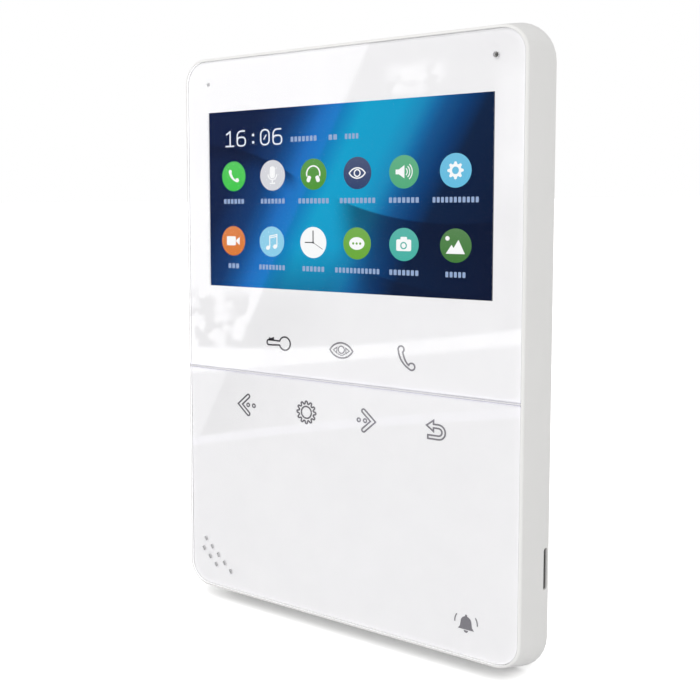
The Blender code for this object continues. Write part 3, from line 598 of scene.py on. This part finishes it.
def offset(points, distance, closed=True):
    """The line moved sideways, to its left for a positive distance, with mitred corners."""
    result = []
    count = len(points)
    for i in range(count):
        before = points[i - 1] if closed or i else points[i]
        after = points[(i + 1) % count] if closed or i < count - 1 else points[i]
        here = points[i]
        first = Vector((here[0] - before[0], here[1] - before[1]))
        second = Vector((after[0] - here[0], after[1] - here[1]))
        if first.length < 1e-9:
            first = second
        if second.length < 1e-9:
            second = first
        first.normalize()
        second.normalize()
        normal = Vector((-first.y - second.y, first.x + second.x))
        normal.normalize()
        reach = distance / max(0.35, normal.dot(Vector((-first.y, first.x))))
        result.append((here[0] + normal.x * reach, here[1] + normal.y * reach))
    return result


def fill(outline):
    return (outline, None)


def outlined(points, width):
    """Closed line of this width, as an outer and an inner outline."""
    return (offset(points, -width / 2), offset(points, width / 2))


def line(points, width):
    """Open line of this width with square ends."""
    left = offset(points, width / 2, closed=False)
    right = offset(points, -width / 2, closed=False)
    return (left + right[::-1], None)


def bend(start, control, end, steps=12):
    """Points along a parabola that is pulled towards the control point."""
    points = []
    for step in range(1, steps):
        t = step / steps
        shares = ((1 - t) ** 2, 2 * t * (1 - t), t**2)
        points.append(tuple(sum(w * p[i] for w, p in zip(shares, (start, control, end))) for i in (0, 1)))
    return points


def capped(points, half):
    """Outline round an open line, with round ends."""
    left, right = offset(points, half, closed=False), offset(points, -half, closed=False)
    caps = []
    for tip, before in ((points[-1], points[-2]), (points[0], points[1])):
        along = math.degrees(math.atan2(tip[1] - before[1], tip[0] - before[0]))
        caps.append(arc(half, along + 90, along - 90, tip, 10)[1:-1])
    return (left + caps[0] + right[::-1] + caps[1])[::-1]


def add_solid(mesh, shape, front, back):
    """Closed body between two depths: a plate, or a ring where the shape has an inner outline."""
    outer, inner = shape
    loops = [[mesh.verts.new((x * MM, y, z * MM)) for x, z in outer] for y in (front, back)]
    if inner:
        loops += [[mesh.verts.new((x * MM, y, z * MM)) for x, z in inner] for y in (back, front)]
        loops.append(loops[0])
    for near, far in zip(loops, loops[1:]):
        for i in range(len(near)):
            mesh.faces.new((near[i - 1], near[i], far[i], far[i - 1]))
    if not inner:
        mesh.faces.new(loops[0])
        mesh.faces.new(loops[1])


def add_object(name, data, material):
    data.materials.append(material)
    obj = bpy.data.objects.new(name, data)
    bpy.context.scene.collection.objects.link(obj)
    return obj


def finish_piece(name, mesh, material, body):
    """Turns a finished mesh into a piece that moves with a body."""
    bmesh.ops.recalc_face_normals(mesh, faces=mesh.faces)
    data = bpy.data.meshes.new(name)
    mesh.to_mesh(data)
    mesh.free()
    obj = add_object(name, data, material)
    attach(obj, body)


def flat_piece(name, shapes, layer, material, at=(0, 0)):
    """One thin piece on the front, made of plates and rings."""
    mesh = bmesh.new()
    for outer, inner in shapes:
        placed = (moved(outer, *at), moved(inner, *at) if inner else None)
        add_solid(mesh, placed, *layer)
    finish_piece(name, mesh, material, "monitor")


# ---------------------------------------------------------------- printed touch symbols

LINE = 0.44


def gear_outline(root, tip, teeth, steps=10):
    """Gear outline with rounded teeth."""
    points = []
    for step in range(teeth * steps):
        angle = 2 * math.pi * step / (teeth * steps)
        wave = max(-1.0, min(1.0, 1.7 * math.cos(teeth * angle)))
        radius = (root + tip) / 2 + (tip - root) / 2 * wave
        points.append((radius * math.cos(angle), radius * math.sin(angle)))
    return points


def lens_outline(half_width, half_height):
    """Pointed oval from two equal arcs."""
    radius = (half_width**2 + half_height**2) / (2 * half_height)
    reach = math.degrees(math.asin(half_width / radius))
    lower = arc(radius, 90 + reach, 90 - reach, (0, half_height - radius))
    upper = arc(radius, -90 + reach, -90 - reach, (0, radius - half_height))
    return (lower + upper[1:-1])[::-1]


def key_symbol():
    """Key lying on its side: round bow at the right, a small bit on top near the left tip."""
    bow, radius, half = (2.2, 0.0), 2.0, 0.62
    gap = math.degrees(math.asin(half / radius))
    body = arc(radius, -180 + gap, 180 - gap, bow, 30)
    end = arc(0.80, 75, 285, (-3.65, 0), 10)
    bit = [(-3.8, 0.5), (-3.6, 1.55), (-3.0, 1.3), (-2.6, 1.45), (-1.9, 1.72), (-1.7, 0.5)]
    return [outlined(body + end, LINE), fill(bit[::-1])]


def eye_symbol():
    iris = (0.0, 0.2)
    return [
        outlined(lens_outline(3.85, 2.2), LINE),
        outlined([(-2.7, 0.0), (-1.6, -0.85), (-1.5, 0.8)], 0.26),
        outlined([(2.7, 0.0), (1.5, 0.8), (1.6, -0.85)], 0.26),
        outlined(circle(1.05, iris, 28), 0.32),
        line(arc(1.75, 222, 318, (0.0, 0.35), 12), 0.24),
    ]


def handset_outline(scale=1.0):
    """Slender telephone handset from the upper left to the lower right, with a bulb at each end."""
    mouth, ear = (1.75, -2.15), (-1.55, 2.45)
    neck = arc(0.92, -55, 200, ear, 16)
    points = arc(0.98, -125, 160, mouth, 16)
    points += bend(points[-1], (-0.45, -0.85), neck[0]) + neck
    points += bend(points[-1], (-2.05, -1.15), points[0])
    return [(x * scale, z * scale) for x, z in points]


def chevron_symbol(direction):
    """Outlined arrow head with two small rings behind it; direction is -1 for left, 1 for right."""
    spine = [(direction * -3.1, 2.75), (0.0, 0.0), (direction * -3.1, -2.75)]
    body = capped(spine, 0.56)
    if direction > 0:
        body = body[::-1]
    places = (3.05, 5.3) if direction < 0 else (2.6, 4.7)
    rings = [outlined(circle(0.52, (-direction * at, 0.0), 20), 0.38) for at in places]
    return [(offset(body, -LINE / 2), offset(body, LINE / 2)), *rings]


def gear_symbol():
    return [outlined(gear_outline(2.58, 3.36, 12), LINE), outlined(circle(1.78, steps=36), LINE)]


def return_symbol():
    """Outlined U-turn arrow: head at the upper left, tail at the lower left."""
    inner, outer = 1.05, 2.05
    middle = (0.9, -0.85)
    band = [(-2.3, middle[1] - outer), *arc(outer, -90, 90, middle, 12), (-0.6, middle[1] + outer)]
    head = [(-0.6, 2.25), (-2.7, 0.72), (-0.6, -0.75), (-0.6, middle[1] + inner)]
    back = [*arc(inner, 90, -90, middle, 10), (-2.3, middle[1] - inner)]
    return [outlined(band + head + back, LINE)]


def bell_symbol():
    """Plain ringing bell, the generic sign at the lower right corner."""
    dome = arc(1.55, 0, 180, (0, 0.75), 14)
    skirt = [(-1.75, -0.6), (-2.35, -1.35), (2.35, -1.35), (1.75, -0.6)]
    return [
        fill(dome + skirt),
        fill(arc(0.62, 180, 360, (0, -1.62), 8)),
        fill(circle(0.32, (0, 2.5), 14)),
        line(arc(3.3, 35, -5, (0, 0.6), 8), 0.3),
        line(arc(3.3, 145, 185, (0, 0.6), 8), 0.3),
    ]


def make_touch_symbols():
    dark = printed_ink("ink_dark_grey", srgb(66, 64, 70))
    middle = printed_ink("ink_middle_grey", srgb(96, 94, 100))
    grey = printed_ink("ink_grey", srgb(118, 116, 122))
    symbols = (
        ("unlock_symbol", key_symbol(), (-20.95, -2.7), dark),
        ("view_symbol", eye_symbol(), (1.25, -3.1), grey),
        ("talk_symbol", [outlined(handset_outline(), LINE)], (22.3, -3.6), grey),
        ("previous_symbol", chevron_symbol(-1), (-35.9, -23.0), middle),
        ("settings_symbol", gear_symbol(), (-11.0, -22.7), middle),
        ("next_symbol", chevron_symbol(1), (11.85, -22.65), grey),
        ("back_symbol", return_symbol(), (31.45, -22.1), grey),
        ("corner_symbol", bell_symbol(), (41.0, -74.6), grey),
    )
    for name, shapes, at, ink in symbols:
        flat_piece(name, shapes, PRINT_LAYER, ink, at)


# ---------------------------------------------------------------- picture on the display


def handset_glyph():
    return [fill(turned(handset_outline(0.66), 10))]


def microphone_glyph():
    return [
        fill(rounded_box(1.9, 3.6, 0.94, (0, 0.9))),
        line(arc(1.6, 180, 360, (0, 0.3)), 0.32),
        fill(rounded_box(0.34, 1.1, 0.1, (0, -1.8))),
        fill(rounded_box(1.9, 0.36, 0.1, (0, -2.4))),
    ]


def headphones_glyph():
    cups = []
    for side in (-1, 1):
        middle = (side * 1.55, -1.35)
        cups.append(turned(rounded_box(1.25, 1.9, 0.5, middle), side * 22, middle))
    return [line(arc(2.3, -18, 198, (0, 0.1), 24), 0.42)] + [fill(cup) for cup in cups]


def eye_glyph():
    return [
        outlined(lens_outline(2.6, 1.45), 0.36),
        outlined(circle(0.95, steps=28), 0.36),
    ]


def loudspeaker_glyph():
    body = [(-2.5, 0.65), (-2.5, -0.65), (-1.5, -0.65), (0.2, -1.8), (0.2, 1.8), (-1.5, 0.65)]
    waves = [line(arc(radius, -48, 48, (-0.1, 0)), 0.26) for radius in (1.2, 1.95, 2.7)]
    return [fill(body)] + waves


def gear_glyph():
    return [(gear_outline(1.72, 2.35, 8), circle(1.0, steps=80))]


def camcorder_glyph():
    return [
        fill(rounded_box(3.5, 2.8, 0.4, (-0.8, 0))),
        fill([(1.15, 0.25), (1.15, -0.25), (2.45, -1.25), (2.45, 1.25)]),
    ]


def music_glyph():
    heads = [turned(circle(0.78, (x, z), 20, 0.8), 20, (x, z)) for x, z in ((-1.35, -1.85), (1.3, -1.45))]
    return [
        *[fill(head) for head in heads],
        line([(-0.72, -1.8), (-0.72, 1.65), (1.95, 2.15), (1.95, -1.4)], 0.3),
        line([(-0.72, 1.1), (1.95, 1.6)], 0.3),
    ]


def clock_hands():
    return [
        line([(0, 0), (0, 3.5)], 0.34),
        line([(0.1, 0), (-2.9, 0)], 0.3),
        line([(0, 0), (3.3, -1.9)], 0.14),
        fill(circle(0.32, steps=16)),
    ]


def speech_glyph():
    return [fill(circle(2.5, steps=40, squeeze=0.72))]


def camera_glyph():
    return [
        fill(rounded_box(4.6, 3.2, 0.45, (0, -0.2))),
        fill(rounded_box(2.0, 1.2, 0.3, (0, 1.5))),
    ]


def mountains_glyph():
    return [
        fill([(-2.8, -2.2), (2.7, -2.2), (0.85, 1.55), (-0.55, -0.65), (-1.15, 0.2)]),
        fill(circle(0.62, (-2.35, 1.9), 18)),
    ]


# Small parts in the disc's colour on top of a sign
DETAILS = {
    "messages": [fill(circle(0.34, (x, 0), 16)) for x in (-1.15, 0, 1.15)],
    "camera": [outlined(circle(0.85, (0, -0.3), 28), 0.34)],
}
DISC_RADIUS = 4.55
LABEL_HEIGHT, LABEL_PITCH, LABEL_GAP = 1.5, 1.3, 0.42
CLOCK_STROKE, CLOCK_HEIGHT = 0.46, 4.9
CLOCK_AT, DATE_AT = (-0.75, 16.1), (-0.7, 17.5)
DATE_WORDS = ((-16.0, -6.5), (-2.7, 0.5), (2.8, 7.6))
ROWS = (7.1, -12.75)
COLUMNS = ((-38.0, -23.2, -8.5, 6.4, 21.2, 36.6), (-38.3, -23.6, -8.6, 6.3, 21.3, 36.8))
LABELS = ((8.2, 9.2, 11.0, 12.0, 9.6, 13.7), (4.5, 9.9, 8.0, 15.0, 9.4, 6.2))
LABEL_DROPS = (7.7, 7.75)

WHITE = srgb(250, 251, 252)


def menu_entries():
    """Name, disc colour, glyph shapes and glyph colour of each round button in the picture."""
    return (
        (
            ("call", srgb(58, 198, 72), handset_glyph(), WHITE),
            ("record", srgb(214, 215, 221), microphone_glyph(), WHITE),
            ("listen", srgb(72, 148, 44), headphones_glyph(), WHITE),
            ("watch", srgb(38, 60, 106), eye_glyph(), WHITE),
            ("announce", srgb(78, 170, 122), loudspeaker_glyph(), WHITE),
            ("setup", srgb(96, 188, 224), gear_glyph(), WHITE),
        ),
        (
            ("video", srgb(220, 120, 42), camcorder_glyph(), WHITE),
            ("music", srgb(138, 206, 234), music_glyph(), WHITE),
            ("clock", srgb(250, 251, 252), clock_hands(), srgb(30, 34, 44)),
            ("messages", srgb(102, 168, 44), speech_glyph(), WHITE),
            ("camera", srgb(62, 176, 162), camera_glyph(), WHITE),
            ("photo", srgb(58, 120, 48), mountains_glyph(), WHITE),
        ),
    )


def on_screen(x, v):
    return (x, SCREEN_Z + v)


def label_shapes(width):
    """A word's place as a row of small rounded blocks."""
    count = max(2, round(width / LABEL_PITCH))
    pitch = width / count
    return [
        fill(rounded_box(pitch - LABEL_GAP, LABEL_HEIGHT, 0.2, (pitch * (i + 0.5) - width / 2, 0)))
        for i in range(count)
    ]


def digit_one(left, right, height):
    middle = (left + right) / 2 + 0.15
    stroke = CLOCK_STROKE
    return [
        line([(middle, 0.0), (middle, height)], stroke),
        line([(left + 0.3, height - 1.15), (middle, height - stroke / 2)], stroke),
        line([(left, stroke / 2), (right, stroke / 2)], stroke),
    ]


def digit_zero(left, right, height):
    """Oval with a short slash in it."""
    width = right - left
    middle = ((left + right) / 2, height / 2)
    oval = rounded_box(width - CLOCK_STROKE, height - CLOCK_STROKE, 1.35, middle)
    slash = [(middle[0] - 0.5, middle[1] - 0.7), (middle[0] + 0.5, middle[1] + 0.7)]
    return [outlined(oval, CLOCK_STROKE), line(slash, CLOCK_STROKE * 0.8)]


def digit_six(left, right, height):
    """Round bowl with a stem that bends over at the top."""
    width, bowl = right - left, height * 0.62
    middle = ((left + right) / 2, bowl / 2)
    half = CLOCK_STROKE / 2
    stem = [(left + half, bowl / 2), *arc(1.5, 180, 90, (left + half + 1.5, height - half - 1.5), 8)]
    return [
        outlined(rounded_box(width - CLOCK_STROKE, bowl - CLOCK_STROKE, 1.1, middle), CLOCK_STROKE),
        line([*stem, (right - 0.4, height - half)], CLOCK_STROKE),
    ]


def clock_shapes():
    """The time in digits, with a colon."""
    shapes = digit_one(-40.4, -37.0, CLOCK_HEIGHT) + digit_six(-36.0, -32.4, CLOCK_HEIGHT)
    shapes += digit_zero(-27.0, -23.4, CLOCK_HEIGHT) + digit_six(-22.4, -18.8, CLOCK_HEIGHT)
    shapes += [fill(rounded_box(0.8, 0.8, 0.25, (-29.65, z))) for z in (1.1, 3.3)]
    return shapes


def make_picture():
    pale = lit_picture("picture_white", srgb(232, 238, 248), 0.0)
    faint = lit_picture("picture_label", srgb(150, 172, 208), 0.0)
    colours = {}

    def paint(colour):
        if colour not in colours:
            colours[colour] = lit_picture(f"picture_colour_{len(colours) + 1}", colour)
        return colours[colour]

    for row, entries in enumerate(menu_entries()):
        for column, (name, colour, glyph, glyph_colour) in enumerate(entries):
            at = on_screen(COLUMNS[row][column], ROWS[row])
            disc = [fill(circle(DISC_RADIUS, steps=64))]
            flat_piece(f"picture_{name}_disc", disc, DISC_LAYER, paint(colour), at)
            flat_piece(f"picture_{name}_sign", glyph, GLYPH_LAYER, paint(glyph_colour), at)
            if name in DETAILS:
                flat_piece(
                    f"picture_{name}_detail", DETAILS[name], DETAIL_LAYER, paint(colour), at
                )
            label = label_shapes(LABELS[row][column])
            label_at = (at[0], at[1] - LABEL_DROPS[row])
            flat_piece(f"picture_{name}_label", label, DISC_LAYER, faint, label_at)
    flat_piece("picture_time", clock_shapes(), DISC_LAYER, pale, on_screen(*CLOCK_AT))
    date = []
    for left, right in DATE_WORDS:
        for outer, _ in label_shapes(right - left):
            date.append(fill(moved(outer, (left + right) / 2, 0)))
    flat_piece("picture_date", date, DISC_LAYER, faint, on_screen(*DATE_AT))


# ---------------------------------------------------------------- contacts


def box_piece(name, boxes, body, material):
    """One piece made of boxes, each as ranges of x, depth behind the front's plane, and z."""
    mesh = bmesh.new()
    for (x0, x1), (front, back), (z0, z1) in boxes:
        outline = [(x0, z0), (x1, z0), (x1, z1), (x0, z1)]
        add_solid(mesh, fill(outline), *[(depth - CASE_DEPTH) * MM for depth in (front, back)])
    finish_piece(name, mesh, material, body)


CASE_DEPTH = 16.0
SOCKETS = (("door_socket_1", -15.0), ("door_socket_2", 0.0), ("power_socket", 15.0))
SOCKET_Z, PIN_PITCH, PIN_SIZE = -42.0, 2.0, 0.5
PIN_DEPTHS, PAD_DEPTHS = (9.25, 12.4), (13.15, 13.2)
CARD_INNER_X, CARD_MIDDLE_Z = 42.2, -59.1
PAD_COUNT, PAD_PITCH, PAD_HALF, PAD_SPAN, PAD_RISE = 7, 1.2, 0.4, (0.5, 3.2), 0.5


def make_contacts():
    """Pins in the cable sockets and gilt pads on the memory card."""
    tin = metal("tinned_pins", (0.72, 0.71, 0.68, 1), 0.28)
    gilt = metal("gilt_pads", (0.83, 0.62, 0.28, 1), 0.22)
    for name, middle in SOCKETS:
        count = 2 if name == "power_socket" else 4
        pins = []
        for pin in range(count):
            x = middle + (pin - (count - 1) / 2) * PIN_PITCH * (2 if count == 2 else 1)
            half = PIN_SIZE / 2
            pins.append(((x - half, x + half), PIN_DEPTHS, (SOCKET_Z - half, SOCKET_Z + half)))
        box_piece(f"{name}_pins", pins, "monitor", tin)
    pads = []
    pad_x = tuple(CARD_INNER_X + reach for reach in PAD_SPAN)
    for pad in range(PAD_COUNT):
        z = CARD_MIDDLE_Z + PAD_RISE + (pad - (PAD_COUNT - 1) / 2) * PAD_PITCH
        pads.append((pad_x, PAD_DEPTHS, (z - PAD_HALF, z + PAD_HALF)))
    box_piece("card_pads", pads, "card", gilt)


# ---------------------------------------------------------------- stage, lights and camera

CAMERA_AT = Vector((0.16796, -0.27492, 0.04109))
CAMERA_FORWARD = Vector((-0.64065, 0.76312, -0.08497))
CAMERA_UP = Vector((-0.04627, 0.07209, 0.99632))
LENS, SHIFT_X, SHIFT_Y = 55.004, 0.2076, -0.0865
HOME_REACH = 0.1 * MM  # how far from its place the camera keeps its lens shift
FAR_AWAY = 10.0  # metres, further out than any camera


def shift_at_home(camera, setting, shift):
    """Shifts the lens only while the camera is at its own place, so that other views are centred."""
    curve = camera.data.driver_add(setting)
    for modifier in list(curve.modifiers):
        curve.modifiers.remove(modifier)
    curve.driver.type = "SUM"
    place = curve.driver.variables.new()
    place.type = "TRANSFORMS"
    place.targets[0].id = camera
    place.targets[0].transform_type = "LOC_X"
    place.targets[0].transform_space = "WORLD_SPACE"
    at_home, past_home = CAMERA_AT.x - HOME_REACH, CAMERA_AT.x + HOME_REACH
    steps = ((-FAR_AWAY, 0.0), (at_home, shift), (past_home, 0.0), (FAR_AWAY, 0.0))
    curve.keyframe_points.add(len(steps))
    for point, step in zip(curve.keyframe_points, steps):
        point.co = step
        point.interpolation = "CONSTANT"


def make_camera():
    data = bpy.data.cameras.new("camera")
    data.sensor_width = 36
    data.lens = LENS
    data.clip_start = 0.01
    camera = bpy.data.objects.new("camera", data)
    back = -CAMERA_FORWARD.normalized()
    right = CAMERA_UP.cross(back).normalized()
    up = back.cross(right)
    camera.matrix_world = Matrix.Translation(CAMERA_AT) @ Matrix((right, up, back)).transposed().to_4x4()
    bpy.context.scene.collection.objects.link(camera)
    bpy.context.scene.camera = camera
    shift_at_home(camera, "shift_x", SHIFT_X)
    shift_at_home(camera, "shift_y", SHIFT_Y)


FILL_COLOUR, FILL_STRENGTH = (1.0, 0.998, 0.995, 1), 0.80
MIRRORED_COLOUR, MIRRORED_STRENGTH = (0.94, 0.94, 1.0, 1), 0.4  # what the glossy front sees


def make_world():
    world = bpy.data.worlds.new("studio")
    bpy.context.scene.world = world
    g = Graph(world)
    path = g.node("LightPath").outputs
    seen = g.node("Background", {"Color": (1, 1, 1, 1), "Strength": 1.0}).outputs[0]
    fill_light = g.node("Background", {"Color": FILL_COLOUR, "Strength": FILL_STRENGTH}).outputs[0]
    mirrored = {"Color": MIRRORED_COLOUR, "Strength": MIRRORED_STRENGTH}
    reflected = g.node("Background", mirrored).outputs[0]
    lit = g.node("MixShader", {0: path["Is Glossy Ray"], 1: fill_light, 2: reflected}).outputs[0]
    shown = g.node("MixShader", {0: path["Is Camera Ray"], 1: lit, 2: seen}).outputs[0]
    g.node("OutputWorld", {"Surface": shown})


def plane_object(name, corners, material):
    data = bpy.data.meshes.new(name)
    data.from_pydata([tuple(c) for c in corners], [], [tuple(range(len(corners)))])
    obj = add_object(name, data, material)
    return obj


FLOOR_REACH = 30.0
FLOOR_LIFT = 0.25  # exposure of the floor above its lit brightness, as a camera sees it
FLOOR_BOUNCE = (0.62, 0.62, 0.62, 1)  # what the floor throws back at the product


def make_floor():
    g = new_graph("floor")
    grain = g.noise(g.place(), 3, 3)
    colour = g.mix(grain, (0.90, 0.90, 0.90, 1), (0.92, 0.92, 0.92, 1))
    by_camera = g.node("LightPath").outputs["Is Camera Ray"]
    paint = g.node("BsdfDiffuse", {"Color": g.mix(by_camera, FLOOR_BOUNCE, colour)}).outputs[0]
    seen = g.math("MULTIPLY", by_camera, FLOOR_LIFT)
    lift = g.node("Emission", {"Color": (1, 1, 1, 1), "Strength": seen}).outputs[0]
    material = g.finish(g.node("AddShader", {0: paint, 1: lift}).outputs[0])
    signs = ((-1, -1), (1, -1), (1, 1), (-1, 1))
    corners = [(x * FLOOR_REACH, y * FLOOR_REACH, cad_low.z) for x, y in signs]
    floor = plane_object("floor", corners, material)
    floor.visible_glossy = False
    return floor


# The room that the camera sees mirrored in the front. Heights and slopes are those of the mirrored
# shapes on the front itself, in millimetres; strengths are radiances.
ROOM_Y = -0.9
SHEET_HALF = (90, 120)  # half width and half height of the part of the front that mirrors the sheet
ROOM_EDGE = (-33.2, 0.53)  # slanted edge of the bright window at the left: x = start + slope z
UPPER_BAND, UPPER_HALF = (-4.1, 0.14, 0.0004), (2.2, -0.02, 0.0003)  # z and half thickness, by x
LOWER_BAND = (-25.0, 0.205, -0.0004)
CLOUD_X, CLOUD_Z = (25.0, 11.0), (72.5, 5.5)  # middle and half size of some bright spots
ROOM_STRENGTHS = {
    "window": 4.9,
    "wall": 1.5,
    "shade": 0.1,
    "glare": 3.6,
    "left_wall": 1.9,
    "right_wall": 2.0,
    "below": 1.4,
    "lower_band": 2.9,
}


def room_above(g, x, z, place, beyond, left):
    """Radiance above the upper band: the window, the wall beside it, bright spots and a glare."""
    tones = ROOM_STRENGTHS
    blotches = g.spread(g.noise(place, 6.5, 3), 0.45, 0.54, smooth=True)
    low_left = g.math("MULTIPLY", g.spread(z, 15, 9, 0.0, 0.9, smooth=True), blotches)
    window = g.spread(low_left, 0, 1, tones["window"], tones["shade"])
    corner = g.math("MULTIPLY", g.spread(beyond, 38, 8, smooth=True), g.spread(z, 16, 7, smooth=True))
    wall = g.spread(corner, 0, 1, tones["wall"], tones["shade"])
    cloud = g.spread(g.noise(place, 4.0, 3), 0.42, 0.56, smooth=True)
    for axis, (middle, half) in ((x, CLOUD_X), (z, CLOUD_Z)):
        from_middle = g.math("ABSOLUTE", g.math("SUBTRACT", axis, middle))
        cloud = g.math("MULTIPLY", cloud, g.spread(from_middle, half, half / 2, smooth=True))
    wall = g.spread(cloud, 0, 1, wall, tones["window"])
    glare = g.math("MULTIPLY", g.spread(x, 45, 52, smooth=True), g.spread(z, 36, 50, smooth=True))
    glare = g.math("MULTIPLY", glare, g.spread(z, 80, 68, smooth=True))
    wall = g.spread(glare, 0, 1, wall, tones["glare"])
    return g.spread(left, 0, 1, wall, window)


def room_strength(g, x, z):
    """Radiance of the mirrored room at a place on the front, and how much of it is the lower band."""
    tones = ROOM_STRENGTHS
    place = g.node("CombineXYZ", {0: x, 2: z}).outputs[0]
    beyond = g.math("SUBTRACT", x, g.curve(z, *ROOM_EDGE))
    left = g.spread(beyond, -0.9, 0.6, 1.0, 0.0, smooth=True)
    upper = room_above(g, x, z, place, beyond, left)
    behind_edge = g.spread(beyond, 4, 45, tones["shade"], tones["right_wall"])
    middle = g.spread(left, 0, 1, behind_edge, tones["left_wall"])
    from_lower = g.math("SUBTRACT", z, g.curve(x, *LOWER_BAND))
    from_upper = g.math("SUBTRACT", z, g.curve(x, *UPPER_BAND))
    mottle = g.spread(g.noise(place, 14, 3), 0.3, 0.7, -0.25, 0.25)
    room = g.spread(from_lower, -0.5, 0.5, tones["below"], middle, smooth=True)
    lower_band = g.spread(g.math("ABSOLUTE", from_lower), 1.9, 0.8, smooth=True)
    room = g.spread(lower_band, 0, 1, room, tones["lower_band"])
    above_seam = g.spread(z, SEAM_Z - 0.5, SEAM_Z + 0.5)
    room = g.spread(above_seam, 0, 1, room, tones["right_wall"])
    room = g.spread(from_upper, -0.5, 0.5, room, upper, smooth=True)
    inside = g.math("SUBTRACT", g.curve(x, *UPPER_HALF), g.math("ABSOLUTE", from_upper))
    room = g.spread(g.spread(inside, -0.7, 0.7, smooth=True), 0, 1, room, tones["window"] + 0.5)
    return g.math("ADD", room, mottle), lower_band


def make_reflected_room():
    """A lit sheet behind the camera, seen only as a reflection."""
    mirrored = Vector((CAMERA_AT.x, 2 * FRONT_Y - CAMERA_AT.y, CAMERA_AT.z))
    reach = (ROOM_Y - mirrored.y) / (FRONT_Y - mirrored.y)
    g = new_graph("reflected_room")
    away = g.node("VectorMath", {0: g.place(), 1: mirrored / MM}, operation="SUBTRACT").outputs[0]
    near = g.node("VectorMath", {0: away, "Scale": 1 / reach}, operation="SCALE").outputs[0]
    x, _, z = g.axes(g.node("VectorMath", {0: near, 1: mirrored / MM}, operation="ADD").outputs[0])
    strength, lower_band = room_strength(g, x, z)
    colour = g.mix(lower_band, (1.0, 0.998, 1.02, 1), (0.97, 0.96, 1.10, 1))
    material = g.finish(g.node("Emission", {"Color": colour, "Strength": strength}).outputs[0])
    material.cycles.emission_sampling = "NONE"
    corners = []
    for side, up in ((-1, -1), (1, -1), (1, 1), (-1, 1)):
        on_front = Vector((side * SHEET_HALF[0] * MM, FRONT_Y, up * SHEET_HALF[1] * MM))
        corners.append(mirrored + (on_front - mirrored) * reach)
    sheet = plane_object("reflected_room", corners, material)
    sheet.visible_camera = sheet.visible_diffuse = sheet.visible_shadow = False
    sheet.visible_transmission = False


def sun(name, direction, strength, degrees, floor, on_floor):
    """Distant soft lamp that lights either only the floor or everything else."""
    data = bpy.data.lights.new(name, "SUN")
    data.energy = strength
    data.angle = math.radians(degrees)
    light = bpy.data.objects.new(name, data)
    light.rotation_euler = (-Vector(direction)).to_track_quat("-Z", "Y").to_euler()
    light.visible_glossy = False
    bpy.context.scene.collection.objects.link(light)
    receivers = bpy.data.collections.new(f"{name}_receivers")
    receivers.objects.link(floor)
    light.light_linking.receiver_collection = receivers
    state = "INCLUDE" if on_floor else "EXCLUDE"
    receivers.collection_objects[0].light_linking.link_state = state


def main():
    bpy.context.scene.view_settings.view_transform = "Standard"
    dress_cad_nodes()
    make_touch_symbols()
    make_picture()
    make_contacts()
    make_world()
    floor = make_floor()
    make_reflected_room()
    sun("floor_light", (0.50, -0.87, 1.15), 2.5, 42, floor, True)
    sun("product_light", (-0.15, -0.80, 0.60), 0.82, 25, floor, False)
    make_camera()


main()
